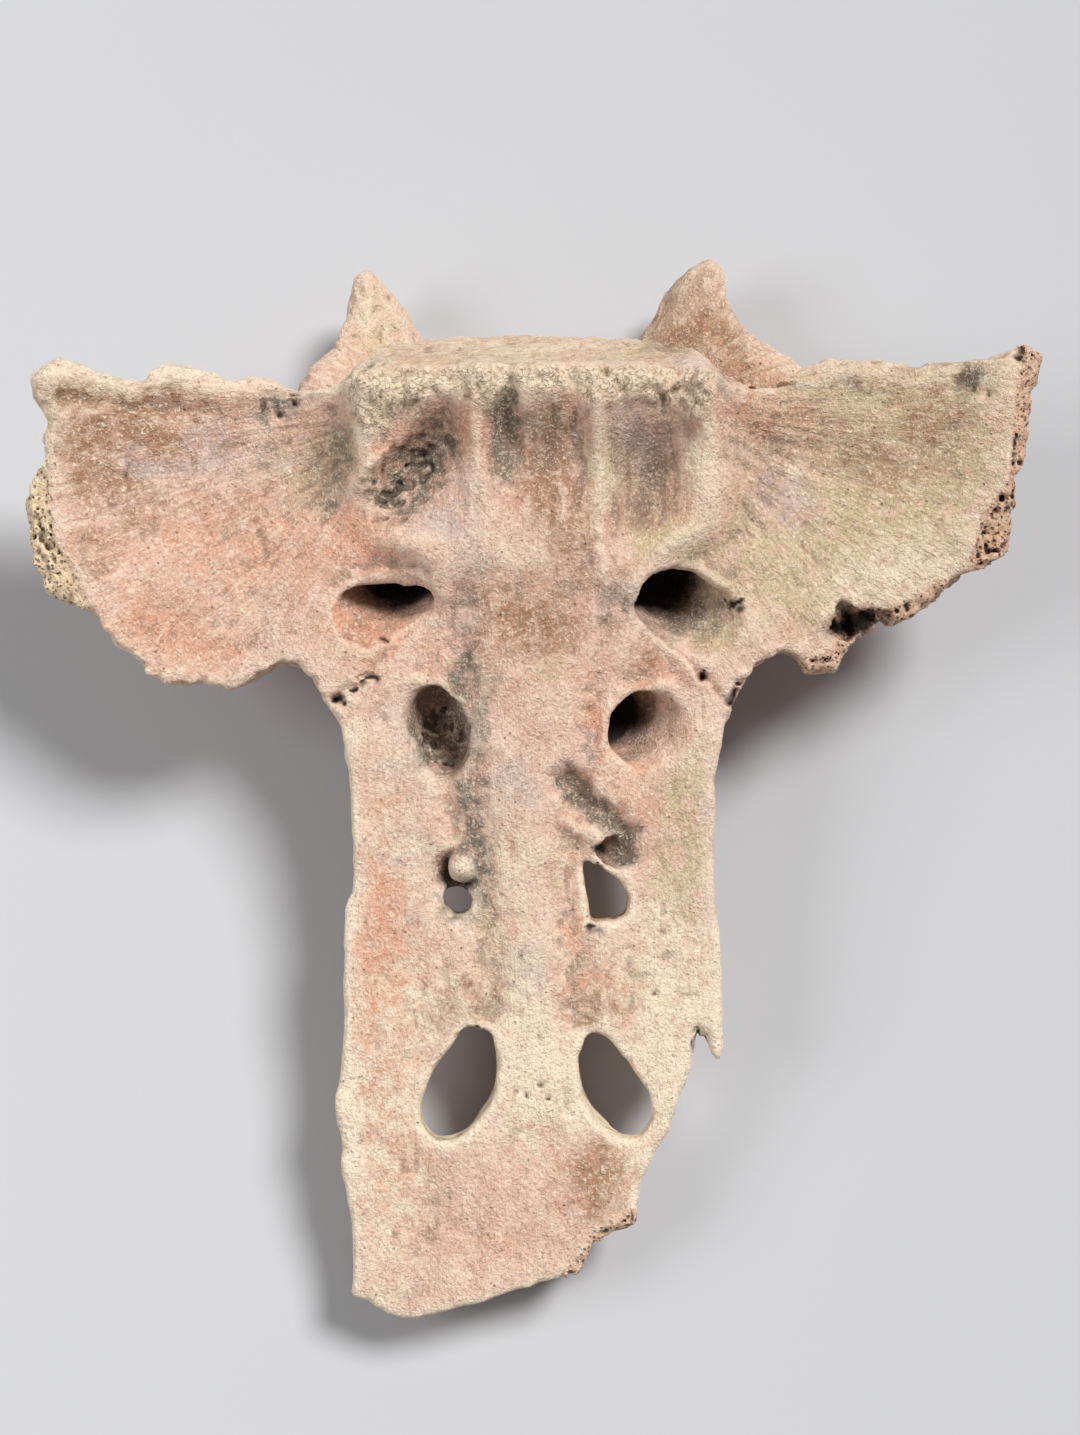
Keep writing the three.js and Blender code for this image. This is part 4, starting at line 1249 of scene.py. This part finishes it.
edge_pairs = np.empty(2 * len(bone_mesh.edges), dtype=np.int32)
bone_mesh.edges.foreach_get("vertices", edge_pairs)
edge_pairs = edge_pairs.reshape(-1, 2)
edge_pairs = np.concatenate([edge_pairs, edge_pairs[:, ::-1]])
normals = np.empty(3 * len(skin), dtype=np.float32)
bone_mesh.vertices.foreach_get("normal", normals)
normals = normals.reshape(-1, 3)
# Each row: name, rounds of ironing, depth in millimetres that counts as 1
IRONED = (("crevice", 6, 0.20), ("dip", 120, 1.3))
for name, rounds, full in IRONED:
    sunk = ((relaxed(skin, edge_pairs, rounds) - skin) * normals).sum(axis=1) / MILLIMETRE
    masks[name] = np.clip(sunk / full, -1.0, 1.0)
    print("Depth of each", name, "in mm:", np.percentile(sunk, (2, 98)).round(2))


# %% Keep the masks on the mesh
def keep_attribute(name, values, kind):
    """Store one value or one vector per vertex under a name that the material can read."""
    layer = bone_mesh.attributes.new(name, kind, "POINT")
    layer.data.foreach_set("value" if kind == "FLOAT" else "vector", values.astype(np.float32).ravel())


for name, mask in masks.items():
    keep_attribute(name, mask, "FLOAT")
keep_attribute("fan", fan, "FLOAT_VECTOR")
keep_attribute("column", column, "FLOAT_VECTOR")
print("Attributes:", len(bone_mesh.attributes))

# %% [markdown]
# ## Shader arithmetic
#
# A material is a web of nodes, and long sums are easier to read as Python. A socket is wrapped in a small
# class, so that adding two wrapped sockets adds a Math node. One method makes every other node: its type,
# then its settings, then the values or links of its sockets.


# %% Sockets that can be added and multiplied
class Wire:
    """An output socket; each operator adds one Math node to the same bench and returns its output."""

    def __init__(self, bench, socket):
        self.bench = bench
        self.socket = socket

    def maths(self, operation, first, second):
        return self.bench.add("ShaderNodeMath", {"operation": operation}, {0: first, 1: second})

    def __add__(self, other):
        return self.maths("ADD", self, other)

    def __radd__(self, other):
        return self.maths("ADD", other, self)

    def __sub__(self, other):
        return self.maths("SUBTRACT", self, other)

    def __rsub__(self, other):
        return self.maths("SUBTRACT", other, self)

    def __mul__(self, other):
        return self.maths("MULTIPLY", self, other)

    def __rmul__(self, other):
        return self.maths("MULTIPLY", other, self)


class Bench:
    """Makes the nodes of one material."""

    def __init__(self, material):
        self.nodes = material.node_tree.nodes
        self.links = material.node_tree.links

    def add(self, kind, settings, sockets, output=0):
        """Add a node: settings first, then each socket gets a value, or a link if it is a Wire."""
        node = self.nodes.new(kind)
        for name, value in settings.items():
            setattr(node, name, value)
        for name, value in sockets.items():
            if isinstance(value, Wire):
                self.links.new(value.socket, node.inputs[name])
            else:
                node.inputs[name].default_value = value
        return Wire(self, node.outputs[output])

    def mask(self, name):
        """A stored attribute as a value."""
        return self.add("ShaderNodeAttribute", {"attribute_name": name}, {}, "Fac")

    def vector(self, name):
        """A stored attribute as a vector."""
        return self.add("ShaderNodeAttribute", {"attribute_name": name}, {}, "Vector")

    def noise(self, place, scale, detail=3.0, rough=0.55, twist=0.0):
        """Noise from 0 to 1 with the given number of blotches per millimetre, twisted by more noise."""
        sockets = {"Vector": place, "Scale": scale, "Detail": detail, "Roughness": rough, "Distortion": twist}
        return self.add("ShaderNodeTexNoise", {}, sockets, 0)

    def ease(self, value, start, stop, low=0.0, high=1.0):
        """Ease a value from low at start to high at stop."""
        sockets = {0: value, 1: start, 2: stop, 3: low, 4: high}
        return self.add("ShaderNodeMapRange", {"interpolation_type": "SMOOTHSTEP"}, sockets)

    def blend(self, share, under, over, how="MIX"):
        """Lay one colour over another by a share from 0 to 1."""
        settings = {"data_type": "RGBA", "blend_type": how}
        return self.add("ShaderNodeMix", settings, {0: share, 6: under, 7: over}, 2)


def tone(red, green, blue):
    """A colour given in 0 to 255 screen levels, turned to the linear light that shaders use."""
    level = np.array([red, green, blue]) / 255.0
    linear = np.where(level <= 0.04045, level / 12.92, ((level + 0.055) / 1.055) ** 2.4)
    return (*linear.tolist(), 1.0)


print("Mid grey in linear light:", round(tone(128, 128, 128)[0], 3))

# %% [markdown]
# ## Fossil bone
#
# The finish is dry and matte. Over a pale pinkish ground lie the stains, each broken up by noise so that no
# edge is even. Fine fibres, cream flecks and brown specks cover it all, and tiny pores dot the surface. The
# same noises lift the surface a little through one Bump node. An image could hold such a finish too, but
# noise has no seams and no limit of sharpness. First come the tones, as they look on a screen.

# %% Tones of the bone
BONE_PALE = tone(236, 200, 180)
BONE_DEEP = tone(216, 169, 144)
PATCH_GREY = tone(212, 190, 178)
PATCH_TAN = tone(222, 182, 148)
STAIN_TONES = {
    "salmon": tone(224, 164, 134),
    "olive": tone(206, 186, 148),
    "brown": tone(168, 128, 98),
    "lilac": tone(206, 180, 169),
    "cream": tone(244, 226, 197),
    "grey_green": tone(114, 109, 94),
}
RIM_TAN = tone(236, 212, 180)
# Flecks in the grain, and also painted highlight on ridges.
FLECK_AND_HIGHLIGHT = tone(252, 230, 206)
SPECK = tone(152, 106, 82)
# Partly painted light: the left sponge is made paler to make up for the shade that end lies in.
SPONGE_LEFT = tone(244, 218, 176)
SPONGE_RIGHT = tone(212, 166, 136)
# Darkens dips, crevices and rim creases: partly dust, partly painted shade.
DUST_AND_SHADE = tone(138, 116, 99)
# Soil, and painted shade in the tunnels and hollows.
SOIL_AND_SHADE = tone(26, 20, 16)
print("Stain tones:", len(STAIN_TONES))

# %% [markdown]
# Every grain is a noise of its own scale: clouds and blotches of a centimetre or more, mottles of two
# millimetres, winding worms and speckles below that, and fibres that follow the run of the bone. They read
# Object coordinates, turned off the axes, so that no grain lines up with the bone.

# %% Grains
GRAIN_TURN = (0.6, 0.4, 0.9)
GRAIN_SHIFT = 53.0

finish = bpy.data.materials.new("fossil_bone")
finish.use_nodes = True
finish.node_tree.nodes.clear()
bench = Bench(finish)

object_place = bench.add("ShaderNodeTexCoord", {}, {}, "Object")


def grain_place(number):
    """Object coordinates in millimetres, turned off the axes and moved along: every grain is its own."""
    sockets = {"Vector": object_place, "Rotation": GRAIN_TURN, "Scale": (1000.0,) * 3}
    return bench.add("ShaderNodeMapping", {}, {**sockets, "Location": (GRAIN_SHIFT * number,) * 3})


place = grain_place(0)
clouds = bench.noise(place, 0.045, 3.0)
blotches = bench.noise(place, 0.16, 4.0, 0.6)
mottle = bench.noise(place, 0.5, 4.0, 0.62)
speckle = bench.noise(place, 1.3, 2.0, 0.6)
worms = bench.noise(place, 0.75, 3.0, 0.65, 1.4)
wing = bench.mask("wing")
fan_fibre = bench.noise(bench.vector("fan"), 0.9, 3.0, 0.6, 0.5)
column_fibre = bench.noise(bench.vector("column"), 0.8, 3.0, 0.6, 0.8)
fibre = fan_fibre * wing + column_fibre * (1 - wing)
print("Nodes for the grains:", len(finish.node_tree.nodes))

# %% [markdown]
# The ground drifts between pale, deep, grey and tan. Each stain's mask is multiplied by a noise and then
# eased, so a weak mask shows as scattered patches and a strong one as an almost closed stain.

# %% Ground and stains
colour = bench.blend(bench.ease(clouds * 0.4 + blotches * 0.6, 0.36, 0.64), BONE_PALE, BONE_DEEP)
drift = bench.noise(grain_place(9), 0.075, 6.0, 0.66)
colour = bench.blend(bench.ease(drift, 0.53, 0.68) * 0.5, colour, PATCH_GREY)
colour = bench.blend(bench.ease(drift, 0.47, 0.32) * 0.45, colour, PATCH_TAN)
for number, (name, stain_tone) in enumerate(STAIN_TONES.items()):
    grain = bench.noise(grain_place(number + 1), 0.26, 6.0, 0.72)
    share = bench.ease(bench.mask(name) * (1 + (grain - 0.5) * 4.2), 0.10, 0.90)
    colour = bench.blend(share, colour, stain_tone)
print("Nodes with the stains:", len(finish.node_tree.nodes))

# %% [markdown]
# Next comes wear, with painted light. The rim of the end face is tan, and darkened as painted shade in the
# creases between its nubs. Dips and crevices are darkened, partly as dust and partly as painted shade, and
# ridges are lightened, partly as rubbing and partly as painted highlight. The broken ends show the sponge,
# cream on the left and tan on the right. Over all lie fibres, flecks and specks.

# %% Rim, dust and painted shade, sponge, flecks and painted highlights
rim = bench.mask("rim")
colour = bench.blend(rim * 0.8, colour, RIM_TAN)
dip = bench.mask("dip")
crevice = bench.mask("crevice")
uneven_dip = dip + (mottle - 0.5) * 0.3
# Painted shade and dust darken dips and crevices; painted highlight and rubbing lighten ridges.
colour = bench.blend(bench.ease(uneven_dip, 0.25, 1.3) * (0.36 - rim * 0.26), colour, DUST_AND_SHADE)
colour = bench.blend(bench.ease(uneven_dip, -0.25, -1.15) * (0.34 - rim * 0.24), colour, FLECK_AND_HIGHLIGHT)
colour = bench.blend(bench.ease(crevice, 0.25, 1.1) * (0.56 - rim * 0.26), colour, DUST_AND_SHADE)
nub = {"Vector": place, "Scale": 0.6}
nub_edge = bench.add("ShaderNodeTexVoronoi", {"feature": "DISTANCE_TO_EDGE"}, nub, "Distance")
crease = bench.ease(nub_edge + (worms - 0.5) * 0.9, 0.11, -0.03) * bench.ease(mottle, 0.40, 0.58) * rim
# Painted shade in the creases between the rim's nubs, and painted highlight on sharp ridges.
colour = bench.blend(crease * 0.3, colour, DUST_AND_SHADE)
colour = bench.blend(bench.ease(crevice, -0.35, -1.2) * 0.34, colour, FLECK_AND_HIGHLIGHT)
right_side = bench.ease(bench.add("ShaderNodeSeparateXYZ", {}, {0: object_place}, "X"), -0.02, 0.02)
sponge = bench.blend(right_side, SPONGE_LEFT, SPONGE_RIGHT)
spongy = bench.mask("spongy")
colour = bench.blend(spongy * 0.75, colour, sponge)
colour = bench.blend(bench.ease(fibre, 0.52, 0.72) * (0.14 + wing * 0.22), colour, SPECK)
colour = bench.blend(bench.ease(fibre, 0.47, 0.28) * (0.16 + wing * 0.28), colour, FLECK_AND_HIGHLIGHT)
colour = bench.blend(bench.ease(worms, 0.54, 0.70) * 0.6, colour, FLECK_AND_HIGHLIGHT)
colour = bench.blend(bench.ease(worms, 0.45, 0.28) * 0.46, colour, SPECK)
colour = bench.blend(bench.ease(speckle, 0.56, 0.69) * 0.5, colour, FLECK_AND_HIGHLIGHT)
colour = bench.blend(bench.ease(speckle, 0.44, 0.31) * 0.36, colour, SPECK)
print("Nodes with the wear:", len(finish.node_tree.nodes))

# %% [markdown]
# Last come the pores, which are dark spots round the seeds of a Voronoi pattern, and the mask of soil and
# painted shade. The heights of all grains are summed for the Bump node. The surface is dry and rough all
# over, and how rough it is follows the mottle and the fibres.

# %% Pores, soil and painted shade, bump and shader
pore_seed = bench.add("ShaderNodeTexVoronoi", {}, {"Vector": place, "Scale": 0.42}, "Distance")
pore = bench.ease(pore_seed, 0.17, 0.08) * bench.ease(mottle, 0.52, 0.62)
colour = bench.blend(pore * 0.3, colour, SOIL_AND_SHADE)
fine_seed = bench.add("ShaderNodeTexVoronoi", {}, {"Vector": place, "Scale": 0.8}, "Distance")
fine_pore = bench.ease(fine_seed + (mottle - 0.5) * 0.5, 0.34, 0.16) * spongy
colour = bench.blend(fine_pore * 0.6, colour, SOIL_AND_SHADE)
soil_and_shade = bench.mask("soil_and_shade")
# Soil and painted shade: black deep in the tunnels, dark in the hollow, pores, pits and cracks.
colour = bench.blend(bench.ease(soil_and_shade * (0.5 + mottle), 0.10, 0.72) * 0.97, colour, SOIL_AND_SHADE)

raised = fibre * 0.45 + speckle * 0.4 + worms * 0.6 + mottle * 0.6
height = raised - pore * 0.7 - fine_pore * 0.9 - crease * 0.5
relief_normal = bench.add("ShaderNodeBump", {}, {"Strength": 0.85, "Distance": 0.0012, "Height": height})
roughness = bench.ease(mottle + fibre * 0.3, 0.45, 0.85, 0.74, 0.94)
shader = bench.add("ShaderNodeBsdfPrincipled", {}, {
    "Base Color": colour, "Roughness": roughness, "Normal": relief_normal, "Specular IOR Level": 0.28,
})
output = finish.node_tree.nodes.new("ShaderNodeOutputMaterial")
finish.node_tree.links.new(shader.socket, output.inputs["Surface"])
bone_mesh.materials.clear()
bone_mesh.materials.append(finish)
print("Nodes in the material:", len(finish.node_tree.nodes))

# %% [markdown]
# ## Floor and light
#
# The floor is plain and pale. The key light comes from the upper right. It is a sun lamp with a wide angle,
# because a lamp close by would leave the tail end darker than the head end. A weak area lamp fills from the
# left, and an even grey sky opens the shadows. The tones were chosen for the Standard view, which shows
# them as they are.

# %% Floor
FLOOR_HALF = 12.0
FLOOR_TONE = tone(196, 196, 198)

corners = np.array([(-1, -1), (1, -1), (1, 1), (-1, 1)]) * FLOOR_HALF
floor_points = [(float(x), float(y), 0.0) for x, y in corners]
floor_mesh = bpy.data.meshes.new("floor")
floor_mesh.from_pydata(floor_points, [], [(0, 1, 2, 3)])
floor = bpy.data.objects.new("floor", floor_mesh)
bpy.context.scene.collection.objects.link(floor)
floor_finish = bpy.data.materials.new("pale_floor")
floor_finish.use_nodes = True
floor_shader = floor_finish.node_tree.nodes["Principled BSDF"]
floor_shader.inputs["Base Color"].default_value = FLOOR_TONE
floor_shader.inputs["Roughness"].default_value = 0.9
floor_mesh.materials.append(floor_finish)
print("Floor in metres:", 2 * FLOOR_HALF)

# %% Lamps and sky
KEY_PLACE = (0.75, 0.62, 1.30)
KEY_POWER = 3.2
KEY_SPREAD = 20.0
FILL_PLACE = (-1.05, -0.1, 1.0)
FILL_POWER = 8.0
FILL_SIZE = 0.7
SKY_POWER = 0.22
SKY_TONE = tone(225, 227, 230)
AIM = (0.0, 0.0, 0.03)


def add_lamp(name, kind, place, power):
    """A lamp at a place in metres, turned to face the middle of the bone."""
    data = bpy.data.lights.new(name, kind)
    data.energy = power
    lamp = bpy.data.objects.new(name, data)
    away = np.array(place) - np.array(AIM)
    lamp.location = place
    lamp.rotation_euler = (0.0, math.acos(away[2] / np.linalg.norm(away)), math.atan2(away[1], away[0]))
    bpy.context.scene.collection.objects.link(lamp)
    return data


add_lamp("key", "SUN", KEY_PLACE, KEY_POWER).angle = math.radians(KEY_SPREAD)
add_lamp("fill", "AREA", FILL_PLACE, FILL_POWER).size = FILL_SIZE
world = bpy.data.worlds.new("sky")
world.use_nodes = True
world.node_tree.nodes["Background"].inputs["Color"].default_value = SKY_TONE
world.node_tree.nodes["Background"].inputs["Strength"].default_value = SKY_POWER
bpy.context.scene.world = world
bpy.context.scene.view_settings.view_transform = "Standard"
print("Lamps:", [lamp.name for lamp in bpy.data.lights])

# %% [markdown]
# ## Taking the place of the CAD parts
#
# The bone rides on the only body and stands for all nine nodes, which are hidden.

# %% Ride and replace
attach(bone, "root")
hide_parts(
    "s1_vertebra", "wing_left", "wing_right", "articular_process_left", "articular_process_right",
    "s2_vertebra", "s3_vertebra", "s4_vertebra", "s5_vertebra",
)
